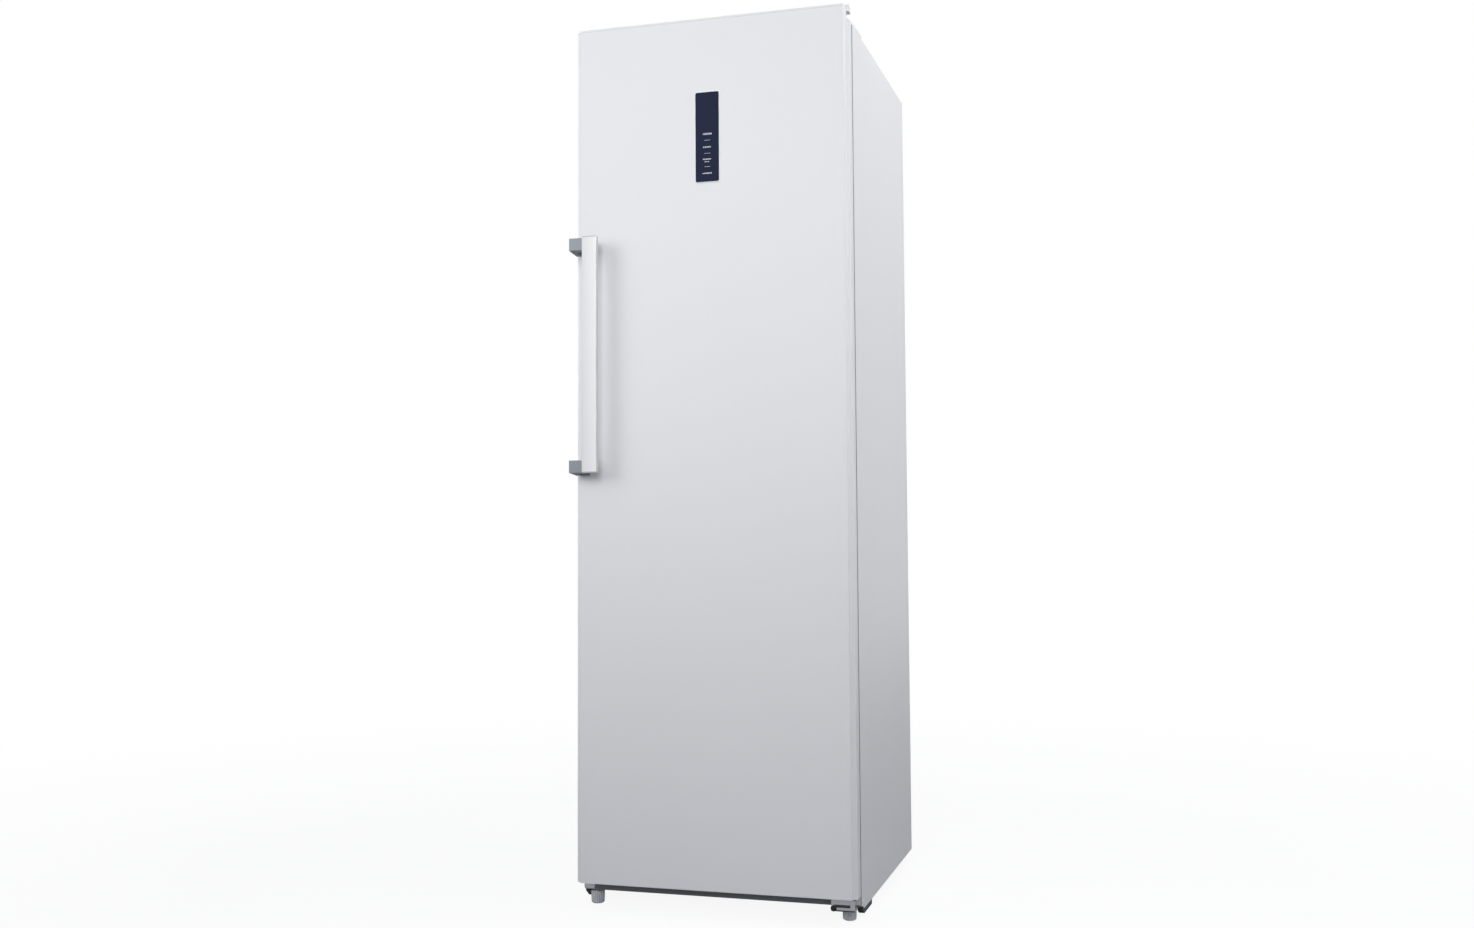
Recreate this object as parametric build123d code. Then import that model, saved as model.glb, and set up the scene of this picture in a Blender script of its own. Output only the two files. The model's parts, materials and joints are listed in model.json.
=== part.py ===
from build123d import *
import os
from math import cos, pi, radians, sin

# Upright no-frost freezer, in millimetres. X runs to the right seen from the front,
# Y runs to the back and Z runs up. The origin is the middle of the footprint on the floor.

# ---- driving dimensions: overall ----
width = 595.0
height = 1855.0
body_depth = 645.0            # door front to cabinet back, without the handle
handle_reach = 48.0           # handle front ahead of the door front

# ---- driving dimensions: door ----
door_thickness = 38.0
door_bottom = 52.0
door_edge_radius = 10.0
skin_sheet = 0.8
skin_return = 14.0            # inward fold at the back of the door skin
door_cap_lip = 4.0
door_plug = 26.0              # depth of the end caps inside the skin
door_liner_sheet = 1.6
door_dam = 22.0               # height of the raised inner panel
door_dam_play = 14.0          # room between the raised panel and the cabinet opening
door_dam_radius = 26.0
door_dam_taper = 0.35         # side slope of the raised panel
door_groove = 5.0             # width of the stiffening grooves pressed into it
door_groove_depth = 0.8
cap_slope_depth = 24.0        # flat part of the top cap, front to back
cap_rear_rise = 4.0           # rear edge of that slope above the hinge pocket's floor
cap_wall = 3.0
cap_rib = 14.0                # solid left end of the caps
cap_roof = 8.0

# ---- driving dimensions: gasket ----
gasket_gap = 9.0              # door back to cabinet front
gasket_width = 17.0
gasket_wall = 1.4
gasket_play = 0.3

# ---- driving dimensions: cabinet shell ----
top_step = 30.0               # door top above cabinet top
sheet = 0.8
flange = 24.0                 # inward fold at the front of the side panels
rear_flange = 12.0
side_bottom = 21.0
corner_cut_depth = 26.0       # lower front corner cut of the side panels
corner_cut_height = 12.0
corner_block_height = 10.0
corner_block_width = 12.0
corner_block_length = 104.0
bead_depth = 2.0              # pressed beads of the back panel
bead_width = 14.0
bead_count = 5
bead_margin = 0.06            # share of the panel's height left plain above and below

# ---- driving dimensions: insulated walls ----
side_wall = 58.0
top_wall = 65.0
back_wall = 55.0
floor_wall = 60.0
liner_sheet = 1.5

# ---- driving dimensions: machine compartment ----
pan_level = 32.4              # underside of the insulated floor
niche_depth = 218.0
niche_height = 205.0
niche_wall = 44.0
tray_level = 24.0
tray_depth = 176.0
tray_lip = 14.0
cover_flange = 14.0           # turned-down rear edge of the compartment's roof
louvre_rows = 6
louvre_pitch = 21.0
louvre_start = 50.0           # lowest louvre above the cover's lower edge
louvre_width = 112.0
louvre_height = 6.0
cord_inset = 52.0             # mains lead from the side
cord_rise = 28.0              # mains lead above the tray
cord_hole = 9.0
cord_radius = 4.0
gland_radius = 12.0
gland_depth = 5.0
terminal_depth = 30.0         # starter box on the compressor's side
terminal_width = 52.0
terminal_height = 58.0
terminal_radius = 6.0
drip_width = 156.0            # open drip tray on the compressor
drip_depth = 116.0
drip_height = 20.0
drip_wall = 2.0
drip_bevel = 10.0
pipe_inset = 22.0             # outermost pipe from the side panel
pipe_step = 18.0              # next pipe beside it
pipe_bend = 12.0
pipe_drop = 14.0              # upper pipe run below the compartment's roof
discharge_offset = 42.0
drier_offset = 120.0          # filter drier beside the compressor
drier_length = 90.0
drier_radius = 10.0
drier_rise = 40.0
drier_stand = 10.0

# ---- driving dimensions: inside ----
duct_depth = 64.0
duct_sheet = 2.0
vent_count = 4                # vents beside each other on a level
vent_pitch = 84.0
vent_width = 64.0
vent_height = 6.0
vent_share = 0.7              # height of the vents within a level
fit_play = 1.0                # side room of the fixed fittings
store_setback = 60.0          # drawer fronts behind the cabinet front
drawer_count = 5
flap_count = 2
drawer_pitch = 222.0
shelf_over_step = 28.0
glass = 4.0
ledge = 9.0
ledge_height = 12.0
runner_share = 0.6            # place of the floor runners across the opening
trim_sheet = 2.0
trim_depth = 16.0
drawer_wall = 2.0
drawer_play = 5.0             # side room of a drawer
drawer_top_play = 22.0
drawer_draft = 9.0            # how much narrower each side is at the bottom
drawer_rim = 7.0
drawer_rim_sheet = 3.0
drawer_bevel = 10.0
slide_play = 0.3
front_sheet = 3.0
grip_reach = 16.0
grip_drop = 12.0
flap_sheet = 3.0
flap_pin_radius = 3.0
flap_top_play = 5.0
flap_bottom_play = 8.0

# ---- driving dimensions: hinges ----
hinge_inset = 12.5            # pin axis from the side of the cabinet
hinge_setback = 20.0          # pin axis behind the door front
pin_radius = 4.0
pin_head = 8.0
pin_end_room = 6.0            # pin ends short of the bush's blind end
run_play = 0.05               # radial running clearance
rod_sides = 12                # facets of the plain rods
hinge_sheet = 3.0
hinge_lift = 0.5              # hinge arm above its base plate, for a free swing
arm_radius = 9.5
arm_root = 52.0               # root of the arm, in from the pin
arm_root_end = 12.0
joggle_depth = 10.0
hinge_plate_play = 8.0        # base plate from the cabinet's side and front
bolt_inset = 14.0
bolt_setback = 16.0
bolt_front = 34.0
bush_wall = 2.0
bush_flange = 2.5
hinge_plate_width = 84.0
hinge_plate_depth = 96.0
hinge_cover_height = 10.0
hinge_cover_width = 96.0
hinge_cover_depth = 108.0
hinge_cover_inset = 1.5
hinge_cover_setback = 4.0
hinge_cover_radius = 8.0
hinge_cover_bevel = 2.0
cover_wall = 1.6
cap_recess_height = 16.0
lower_hinge_width = 54.0
lower_hinge_inset = 6.0
lower_slot_width = 32.4
lower_slot_height = 4.0
lower_slot_place = 22.68      # middle of the slot from the plate's left end

# ---- driving dimensions: handle ----
handle_left = 1.5             # bracket side in from the door side
handle_length = 497.0
handle_bottom = 902.5
bar_width = 33.0
bar_thickness = 12.0
bar_radius = 3.0
bracket_width = 30.0
bracket_height = 25.5
bracket_set = 4.0             # bracket front behind the bar front
bracket_flare = 5.0
tongue_sheet = 8.0
tongue_inset = 5.0            # tongue end from the bar's far edge
tongue_margin = 2.0
tongue_bevel = 4.0
bracket_post = 11.0           # wall of the hollowed bracket
bracket_foot = 9.0
upper_bracket_drop = 3.0
lower_bracket_rise = 1.0

# ---- driving dimensions: display ----
display_width = 50.0
display_height = 187.0
display_drop = 160.0          # top of the display below the door top
display_offset = -2.5
display_glass = 1.6
display_rim = 1.4
display_case_depth = 14.0
display_radius = 3.0
display_play = 0.05
display_proud = 0.6           # rim ahead of the door skin
display_case_wall = 3.0

# ---- driving dimensions: feet and rollers ----
foot_radius = 14.5
foot_height = 26.4
foot_inset = 27.0
foot_setback = 57.0
stud_radius = 5.0
rib_count = 12
rib_depth = 1.2
roller_radius = 16.0
roller_width = 14.0
roller_inset = 34.0
roller_setback = 64.0         # roller axle in from the cabinet back
roller_room = 4.0             # room round the rollers in the tray
axle_radius = 3.0
fork_top = 12.0               # half depth of the fork at its top and at the axle
fork_foot = 7.0
fork_drop = 8.0
fork_lug_low = 10.0
fork_lug_high = 20.0
stud_room = 2.0
stud_rise = 22.0
foot_tab = 30.0
rail_room = 6.0

# ---- driving dimensions: cooling parts ----
coil_tube = 4.0
coil_runs = 6
coil_pitch = 34.0
coil_half = 186.0
coil_bottom_play = 40.0
fin_count = 8
fin_sheet = 0.6
heater_drop = 24.0            # heater below the lowest run
fan_radius = 52.0
fan_hub = 17.0
fan_blades = 5
fan_play = 3.0
fan_width = 14.0
fan_shaft = 2.0
blade_pitch = 28.0            # degrees
blade_chord = 28.0
blade_sheet = 1.4
motor_radius = 20.0
collar_depth = 22.0
collar_sides = 20
compressor_radius = 72.0
compressor_height = 138.0
seam_flange = 3.0             # welding seam round the compressor shell
foot_sheet = 3.0
shell_sides = 28
compressor_share = 0.35       # compressor axis left of the middle, as a share of the half width
grommet_height = 12.0
grommet_radius = 10.0
grommet_neck = 6.0
foot_pad = 11.0               # half width of the compressor's foot pads
pipe_radius = 3.2

# ---- driving dimensions: details ----
seat = 0.3                    # clearance between seated pieces of different bodies
screw_radius = 2.0
screw_head = 4.5
board_width = 190.0
board_height = 150.0
board_box_depth = 26.0
board_share = 0.09            # height of the box on the back panel
board_margin = 8.0
board_sheet = 1.6
board_standoff = 4.0
board_parts = [               # x, z, width, height and depth of the larger parts
    (-55.0, 36.0, 34.0, 30.0, 14.0), (-10.0, 30.0, 22.0, 22.0, 12.0), (30.0, 34.0, 26.0, 16.0, 15.0),
    (62.0, 90.0, 18.0, 44.0, 9.0), (-50.0, 96.0, 40.0, 26.0, 8.0), (8.0, 92.0, 16.0, 16.0, 3.0)]
board_cover_lip = 12.0
board_cover_radius = 4.0
board_cover_play = 0.7
lamp_width = 120.0
lamp_depth = 42.0
lamp_setback = 4.0
lamp_drop = 9.0
lamp_radius = 3.0
lamp_flute_pitch = 6.0
lamp_flute_margin = 8.0
lamp_flute_depth = 1.0
trim_bottom = 30.0
trim_height = 27.0
trim_proud = 2.5

# ---- derived levels and planes ----
half = width / 2
front = (handle_reach - body_depth) / 2
back = front + body_depth
door_back = front + door_thickness
face = door_back + gasket_gap             # cabinet front plane
cabinet_top = height - top_step
open_half = half - side_wall
open_top = cabinet_top - top_wall
open_bottom = pan_level + floor_wall
liner_back = back - back_wall
niche_front = back - niche_depth
niche_top = pan_level + niche_height
step_y = niche_front - niche_wall
step_z = niche_top + niche_wall
duct_front = liner_back - duct_depth
store_front = face + store_setback
first_shelf = step_z + shelf_over_step
hinge_x = half - hinge_inset
hinge_y = front + hinge_setback
skin_top = height - door_cap_lip
skin_bottom = door_bottom + door_cap_lip
recess_bottom = cabinet_top + seat
recess_top = recess_bottom + cap_recess_height
shelf_levels = [first_shelf + i * drawer_pitch for i in range(drawer_count)]
flap_pitch = (open_top - shelf_levels[-1]) / flap_count
shelf_levels += [shelf_levels[-1] + (i + 1) * flap_pitch for i in range(flap_count - 1)]
floor_rib = trim_sheet + 1.0
display_z = height - display_drop - display_height / 2


# ---- small shape helpers ----
def block(x0, x1, y0, y1, z0, z1):
    """A box between two corners."""
    middle = ((x0 + x1) / 2, (y0 + y1) / 2, (z0 + z1) / 2)
    return Pos(*middle) * Box(x1 - x0, y1 - y0, z1 - z0)


def along_x(points, x0, x1):
    """A prism from (y, z) points."""
    outline = make_face(Polyline([(x0, y, z) for y, z in points], close=True))
    return extrude(outline, x1 - x0, dir=(1, 0, 0))


def along_y(points, y0, y1):
    """A prism from (x, z) points."""
    outline = make_face(Polyline([(x, y0, z) for x, z in points], close=True))
    return extrude(outline, y1 - y0, dir=(0, 1, 0))


def along_z(points, z0, z1):
    """A prism from (x, y) points."""
    outline = make_face(Polyline([(x, y, z0) for x, y in points], close=True))
    return extrude(outline, z1 - z0, dir=(0, 0, 1))


def prism_x(x0, x1, y, z, radius, sides):
    """A regular prism from left to right."""
    plane = Plane(origin=(x0, y, z), x_dir=(0, 1, 0), z_dir=(1, 0, 0))
    return extrude(plane * RegularPolygon(radius, sides), x1 - x0)


def rod_y(x, y0, y1, z, radius):
    return Pos(x, (y0 + y1) / 2, z) * Rot(90, 0, 0) * Cylinder(radius, y1 - y0)


def rod_z(x, y, z0, z1, radius):
    return Pos(x, y, (z0 + z1) / 2) * Cylinder(radius, z1 - z0)


def mirrored(shape):
    """The same piece on the other side of the middle plane."""
    return mirror(shape, about=Plane.YZ)


def slab(x_size, z_size, y0, y1, x=0.0, z=0.0, radius=0.0):
    """An upright plate with rounded corners, seen from the front."""
    outline = RectangleRounded(x_size, z_size, radius) if radius else Rectangle(x_size, z_size)
    return extrude(Plane(origin=(x, y1, z), x_dir=(1, 0, 0), z_dir=(0, -1, 0)) * outline, y1 - y0)


def ring(x_size, z_size, band, y0, y1, z, radius=0.0, x=0.0):
    """An upright rectangular frame."""
    inner_radius = max(radius - band, 0.0)
    hole = slab(x_size - 2 * band, z_size - 2 * band, y0 - 1, y1 + 1, x, z, inner_radius)
    return slab(x_size, z_size, y0, y1, x, z, radius) - hole


def bent_tube(points, radius, bend):
    """An eight-sided tube along straight runs, with a mitred step at each corner."""
    path = [Vector(*points[0])]
    for before, corner, after in zip(points, points[1:], points[2:]):
        corner = Vector(*corner)
        path.append(corner + (Vector(*before) - corner).normalized() * bend)
        path.append(corner + (Vector(*after) - corner).normalized() * bend)
    path = Polyline(path + [Vector(*points[-1])])
    start = Plane(origin=path @ 0, z_dir=path % 0)
    return sweep(start * RegularPolygon(radius, 8), path=path, transition=Transition.RIGHT)


def hex_screw(x, y, z, toward, length):
    """A hexagon-head screw: head outside, shank along the direction toward."""
    head = extrude(RegularPolygon(screw_head, 6), -screw_radius)
    shank = extrude(RegularPolygon(screw_radius, 8), length)
    return Plane(origin=(x, y, z), z_dir=toward) * (head + shank)


def screw_hole(x, y, z, toward, length):
    """The punched square hole that a screw passes through."""
    side = 2 * (screw_radius + run_play)
    return Plane(origin=(x, y, z), z_dir=toward) * Box(side, side, 2 * length)


def prism_z(x, y, z0, z1, radius, sides):
    """An upright prism with a regular outline."""
    return extrude(Pos(x, y, z0) * RegularPolygon(radius, sides), z1 - z0)


def eyelet_z(x, y, z0, z1, radius):
    """An upright eight-sided hole whose flats touch a circle of that radius."""
    return extrude(Pos(x, y, z0) * RegularPolygon(radius, 8, major_radius=False), z1 - z0)


def prism_y(x, y0, y1, z, radius, sides):
    """A regular prism from front to back."""
    plane = Plane(origin=(x, y0, z), x_dir=(1, 0, 0), z_dir=(0, 1, 0))
    return extrude(plane * RegularPolygon(radius, sides), y1 - y0)


# ---- cabinet shell ----
def side_panel():
    """The right side sheet with its folded front and rear flanges."""
    inner = half - sheet
    rear = back - sheet
    outline = [(half, face), (half, rear), (half - rear_flange, rear),
               (half - rear_flange, rear - sheet), (inner, rear - sheet),
               (inner, face + sheet), (half - flange, face + sheet), (half - flange, face)]
    panel = along_z(outline, side_bottom, cabinet_top - sheet)
    corner = panel.edges().filter_by(Axis.Z).sort_by(Axis.Y)[:3].sort_by(Axis.X)[-1]
    panel = fillet(corner, 2 * sheet)
    low = side_bottom - 1
    cut = along_x([(face - 1, low), (face + corner_cut_depth, low),
                   (face + corner_cut_depth, side_bottom), (face - 1, corner_cut_level(face - 1))],
                  0, half + 1)
    return panel - cut


def corner_cut_level(y):
    """The height of the slanted corner cut at a depth y."""
    return side_bottom + corner_cut_height * (face + corner_cut_depth - y) / corner_cut_depth


def top_panel():
    """The top sheet with its front flange between the side flanges."""
    plate = block(-half, half, face, back - sheet, cabinet_top - sheet, cabinet_top)
    reach = half - flange - seat
    fold = block(-reach, reach, face, face + sheet, cabinet_top - flange, cabinet_top)
    return plate + fold


def back_panel():
    """The back sheet with pressed beads, from the machine niche to the top."""
    y0 = back - sheet
    panel = block(-half, half, y0, back, niche_top, cabinet_top)
    span = cabinet_top - niche_top
    low = niche_top + span * bead_margin
    high = cabinet_top - span * bead_margin
    pitch = (width - 2 * side_wall) / (bead_count + 1)
    for i in range(bead_count):
        x = -half + side_wall + (i + 1) * pitch
        if abs(x) < board_width / 2 + bead_width:
            low_here = board_bottom() + board_height + bead_width
        else:
            low_here = low
        length = high - low_here
        centre = (low_here + high) / 2
        press = slab(bead_width, length, y0 - bead_depth, y0, x, centre)
        groove = slab(bead_width - 2 * sheet, length - 2 * sheet, y0 - bead_depth + sheet,
                      back + 1, x, centre)
        panel = panel + press - groove
    return panel - board_window(y0 - 1, back + 1, 0.0)


def board_bottom():
    """The lower edge of the control board box in the back wall."""
    return niche_top + board_share * (cabinet_top - niche_top)


def board_window(y0, y1, grow):
    """The opening for the control board box."""
    z0 = board_bottom()
    reach = board_width / 2 + grow
    return block(-reach, reach, y0, y1, z0 - grow, z0 + board_height + grow)


def base_pan():
    """The bent bottom sheet: floor, niche wall and niche roof in one piece."""
    reach = half - sheet
    rear = cover_plane()
    outline = [(face + sheet, pan_level - sheet), (niche_front + sheet, pan_level - sheet),
               (niche_front + sheet, niche_top - sheet), (rear - sheet, niche_top - sheet),
               (rear - sheet, niche_top - cover_flange), (rear, niche_top - cover_flange),
               (rear, niche_top), (niche_front, niche_top), (niche_front, pan_level),
               (face + sheet, pan_level)]
    pan = along_x(outline, -reach, reach)
    for x, z in cover_screw_spots():
        pan = pan - screw_hole(x, rear, z, (0, 1, 0), 2 * sheet)
    for side in (-1, 1):
        x = side * (half - foot_inset)
        pan = pan - prism_z(x, front + foot_setback, 0, niche_top, stud_radius + stud_room, 8)
    return pan


def cover_plane():
    """The plane on which the cover of the machine compartment seats."""
    return back - screw_radius - sheet


def cover_screw_spots():
    """The screws (x, z) of that cover: two in the roof flange, two in the tray's rear lip."""
    x = half - rear_flange - 3 * screw_head
    upper = niche_top - cover_flange / 2
    lower = tray_level + tray_lip - screw_head
    return [(side * x, z) for side in (-1, 1) for z in (upper, lower)]


def front_crossmember():
    """The folded lower cross rail that carries the feet and the gasket's foot line."""
    reach = half - flange - seat
    top = open_bottom - ledge_height
    rail_y = front + foot_setback + foot_radius + rail_room
    low = pan_level - 3 * sheet
    outline = [(face, top), (face, low), (rail_y, low), (rail_y, low + 2 * sheet),
               (face + sheet, low + 2 * sheet), (face + sheet, top)]
    rail = along_x(outline, -reach, reach)
    for side in (-1, 1):
        x = side * (half - foot_inset)
        y = front + foot_setback
        outer = side * (half - sheet)
        inner = side * (reach - foot_tab)
        tab = block(min(outer, inner), max(outer, inner), face + sheet, rail_y, low, low + 2 * sheet)
        rail = rail + tab
        rail = rail - eyelet_z(x, y, 0, pan_level, stud_radius + run_play)
    return rail


def base_trim():
    """The dark strip across the front under the door."""
    reach = half - flange - seat
    y0 = face - trim_proud
    top = trim_bottom + trim_height
    outline = [(y0, trim_bottom), (face, trim_bottom), (face, top), (y0 + trim_proud / 2, top)]
    return along_x(outline, -reach, hinge_left() - seat)


def hinge_left():
    """The left end of the lower hinge plate."""
    return half - seat - lower_hinge_width


def corner_blocks():
    """The black blocks under the lower front corners of the side panels."""
    low = side_bottom - corner_block_height
    start = face + corner_cut_depth / 3
    end = face + corner_block_length
    outline = [(start, corner_cut_level(start) - corner_block_height / 2),
               (face + corner_cut_depth, low), (end, low), (end, side_bottom),
               (face + corner_cut_depth, side_bottom), (start, corner_cut_level(start))]
    right = along_x(outline, half - corner_block_width, half)
    upper = block(half - corner_block_width, half - sheet, face + corner_cut_depth, end,
                  side_bottom, pan_level - 3 * sheet)
    right = right + upper
    return Compound([right, mirrored(right)])


def cabinet_foam():
    """The rigid insulation between the shell and the liner."""
    y0 = face + liner_sheet
    rear = back - sheet - bead_depth
    outline = [(y0, pan_level), (niche_front, pan_level), (niche_front, niche_top),
               (rear, niche_top), (rear, cabinet_top - sheet), (y0, cabinet_top - sheet)]
    reach = half - 2 * sheet
    foam = along_x(outline, -reach, reach) - cavity(liner_sheet, face - 1)
    foam = foam - board_window(rear - board_box_depth, back, seat)
    foam = foam - block(-reach - 1, reach + 1, rear - sheet, back, niche_top - 1, niche_top)
    for side in (-1, 1):
        x = side * (half - foot_inset)
        foam = foam - prism_z(x, front + foot_setback, 0, stud_top() + stud_room,
                              stud_radius + stud_room, 8)
    return foam


def cavity(grow, y0):
    """The space inside the liner, made larger by grow on every closed side."""
    outline = [(y0, open_bottom - grow), (step_y + grow, open_bottom - grow),
               (step_y + grow, step_z - grow), (liner_back + grow, step_z - grow),
               (liner_back + grow, open_top + grow), (y0, open_top + grow)]
    return along_x(outline, -open_half - grow, open_half + grow)


def inner_liner():
    """The thermoformed tub with its front lip."""
    lip_reach = half - flange - seat
    lip_top = cabinet_top - flange - seat
    lip_bottom = open_bottom - ledge_height + seat
    lip = block(-lip_reach, lip_reach, face, face + liner_sheet, lip_bottom, lip_top)
    return cavity(liner_sheet, face) + lip - cavity(0.0, face - 1)


# ---- inside fittings ----
def shelf_rails():
    """The wall rails that carry the glass plates, and the runners of the lowest drawer."""
    rails = []
    for level in shelf_levels:
        rail = along_y([(open_half, level), (open_half - ledge, level),
                        (open_half - ledge, level - ledge_height / 2),
                        (open_half, level - ledge_height)], store_front, duct_front)
        rails += [rail, mirrored(rail)]
    for side in (-1, 1):
        x = side * open_half * runner_share
        rails.append(block(x - ledge / 2, x + ledge / 2, store_front, step_y, open_bottom,
                           open_bottom + floor_rib - slide_play))
    return Compound(rails)


def duct_cover():
    """The moulded air duct wall with a row of vents for each level and the fan's grille."""
    reach = open_half - fit_play
    y0 = duct_front
    y1 = duct_front + duct_sheet
    cover = block(-reach, reach, y0, y1, step_z, open_top)
    for x in (-reach, reach - duct_sheet):
        cover = cover + block(x, x + duct_sheet, y0, liner_back, step_z, open_top)
    collar_radius = fan_radius + fan_play
    collar = prism_y(0, y0, y0 + collar_depth, fan_z(), collar_radius + duct_sheet, collar_sides)
    mouth = prism_y(0, y1, y0 + collar_depth + 1, fan_z(), collar_radius, collar_sides)
    slots = [mouth]
    for level, top in zip(shelf_levels, shelf_levels[1:] + [open_top]):
        z = level + vent_share * (top - level)
        for k in range(vent_count):
            x = (k - (vent_count - 1) / 2) * vent_pitch
            slots.append(slab(vent_width, vent_height, y0 - 1, y1 + 1, x, z))
    for k in (-2, -1, 0, 1, 2):
        drop = k * 3 * vent_height
        chord = 2 * (fan_radius ** 2 - drop ** 2) ** 0.5
        slots.append(slab(chord, vent_height, y0 - 1, y1 + 1, 0, fan_z() + drop))
    return cover + collar - slots


def fan_z():
    """The height of the fan's axis, above the coil."""
    return coil_bottom() + (coil_runs + 0.5) * coil_pitch + fan_radius + fan_play


def coil_bottom():
    return step_z + coil_bottom_play


def coil_y():
    """The middle plane of the space behind the duct wall."""
    return (duct_front + duct_sheet + liner_back) / 2


def evaporator_coil():
    """The serpentine tube with its aluminium fins, slotted for pairs of runs."""
    bend = coil_pitch / 4
    y = coil_y()
    points = []
    for i in range(coil_runs):
        z = coil_bottom() + i * coil_pitch
        side = 1 if i % 2 == 0 else -1
        points.append((-side * coil_half, y, z))
        points.append((side * coil_half, y, z))
    tube = bent_tube(points, coil_tube, bend)
    fin_reach = coil_half - coil_pitch
    gap = coil_tube + seat
    z0 = coil_bottom() - coil_pitch / 2
    z1 = coil_bottom() + (coil_runs - 0.5) * coil_pitch
    deep = (liner_back - duct_front - duct_sheet) / 2 - seat
    fins = []
    for k in range(fin_count):
        x = -fin_reach + 2 * fin_reach * k / (fin_count - 1)
        thick = 2 * fin_sheet if k in (0, fin_count - 1) else fin_sheet
        fin = block(x - thick, x + thick, y - deep, y + deep, z0, z1)
        for i in range(0, coil_runs, 2):
            z = coil_bottom() + i * coil_pitch
            fin = fin - block(x - 2 * thick, x + 2 * thick, y - gap, y + gap, z - gap, z + coil_pitch + gap)
        fins.append(fin)
    return Compound([tube] + fins)


def defrost_heater():
    """The sheathed heater below the coil on its two wall clips."""
    z = coil_bottom() - heater_drop
    y = coil_y()
    reach = coil_half - coil_pitch
    heater = prism_x(-reach, reach, y, z, coil_tube, rod_sides)
    for x in (-reach, reach):
        heater = heater + block(x - 3, x + 3, y, liner_back, z - coil_tube, z + coil_tube)
    return heater


def fan_motor():
    """The fan motor on its three-armed bracket, with the shaft towards the front."""
    y0 = duct_front + collar_depth
    z = fan_z()
    motor = prism_y(0, y0, liner_back - fit_play, z, motor_radius, collar_sides)
    motor = motor + rod_y(0, duct_front + duct_sheet + fan_play, y0, z, fan_shaft)
    reach = fan_radius + fan_play + duct_sheet
    for k in range(3):
        angle = radians(90 + 120 * k)
        arm = Box(reach, duct_sheet, 4 * duct_sheet, align=(Align.MIN, Align.MIN, Align.CENTER))
        motor = motor + Plane(origin=(0, y0, z), x_dir=(cos(angle), 0, sin(angle)),
                              z_dir=(-sin(angle), 0, cos(angle))) * arm
    return motor


def fan_rotor():
    """The axial fan: a hub with pitched blades."""
    z = fan_z()
    y0 = duct_front + duct_sheet + fan_play
    y1 = y0 + fan_width
    middle = (y0 + y1) / 2
    rotor = prism_y(0, y0, y1, z, fan_hub, 2 * fan_blades)
    length = (fan_radius ** 2 - (blade_chord / 2) ** 2) ** 0.5
    for k in range(fan_blades):
        blade = Pos(0, 0, (length + fan_shaft + fan_play) / 2) * Rot(0, 0, blade_pitch) * Box(
            blade_chord, blade_sheet, length - fan_shaft - fan_play)
        rotor = rotor + Pos(0, middle, z) * Rot(0, 360 * k / fan_blades, 0) * blade
    return rotor - prism_y(0, y0 - 1, y1 + 1, z, (fan_shaft + run_play) / cos(pi / 8), 8)


def lamp():
    """The strip lamp in the liner's roof, with its fluted lens."""
    y = store_front + lamp_setback
    low = open_top - lamp_drop
    x = lamp_width / 2
    lens = block(-x, x, y, y + lamp_depth, low, open_top)
    lens = fillet(lens.edges().group_by(Axis.Z)[0], lamp_radius)
    x = x - lamp_flute_margin
    grooves = []
    for k in range(1, int(lamp_depth / lamp_flute_pitch)):
        groove_y = y + lamp_flute_pitch * k
        grooves.append(block(-x, x, groove_y, groove_y + lamp_flute_pitch / 3, low - 1,
                             low + lamp_flute_depth))
    return lens - grooves


def glass_shelves():
    """The glass plates between the levels."""
    reach = open_half - fit_play
    plates = [block(-reach, reach, store_front + trim_sheet, duct_front - fit_play, z, z + glass)
              for z in shelf_levels]
    return Compound(plates)


def shelf_trims():
    """The front trims that grip the glass plates."""
    reach = open_half - fit_play
    trims = []
    for z in shelf_levels:
        y0 = store_front
        outline = [(y0, z + glass + trim_sheet), (y0, z - ledge_height), (y0 + trim_sheet, z - ledge_height),
                   (y0 + trim_sheet, z + glass), (y0 + trim_depth, z + glass),
                   (y0 + trim_depth, z + glass + trim_sheet)]
        inner = open_half - ledge - fit_play
        low = block(-reach, -inner, y0 - 1, y0 + trim_depth + 1, z - ledge_height - 1, z)
        trims.append(along_x(outline, -reach, reach) - low - mirrored(low))
    return Compound(trims)


# ---- drawers and flaps ----
def drawer_floor(index):
    """The level of a drawer's underside."""
    if index == 0:
        return open_bottom + floor_rib
    return shelf_levels[index - 1] + glass + trim_sheet + slide_play


def drawer_tub(y0, y1, z0, z1, low, shrink, high):
    """A block with sloped sides and bevelled lower and rear edges, from low to high."""
    def reach(z):
        return open_half - drawer_play - drawer_rim - drawer_draft * (z1 - z) / (z1 - z0) - shrink

    tub = along_y([(-reach(low), low), (reach(low), low), (reach(high), high), (-reach(high), high)],
                  y0, y1 - shrink)
    lower = tub.edges().filter_by(Axis.Y).group_by(Axis.Z)[0]
    rear = tub.edges().group_by(Axis.Y)[-1].sort_by(Axis.Z)[:3]
    return chamfer(lower + rear, drawer_bevel - shrink / 2)


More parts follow.
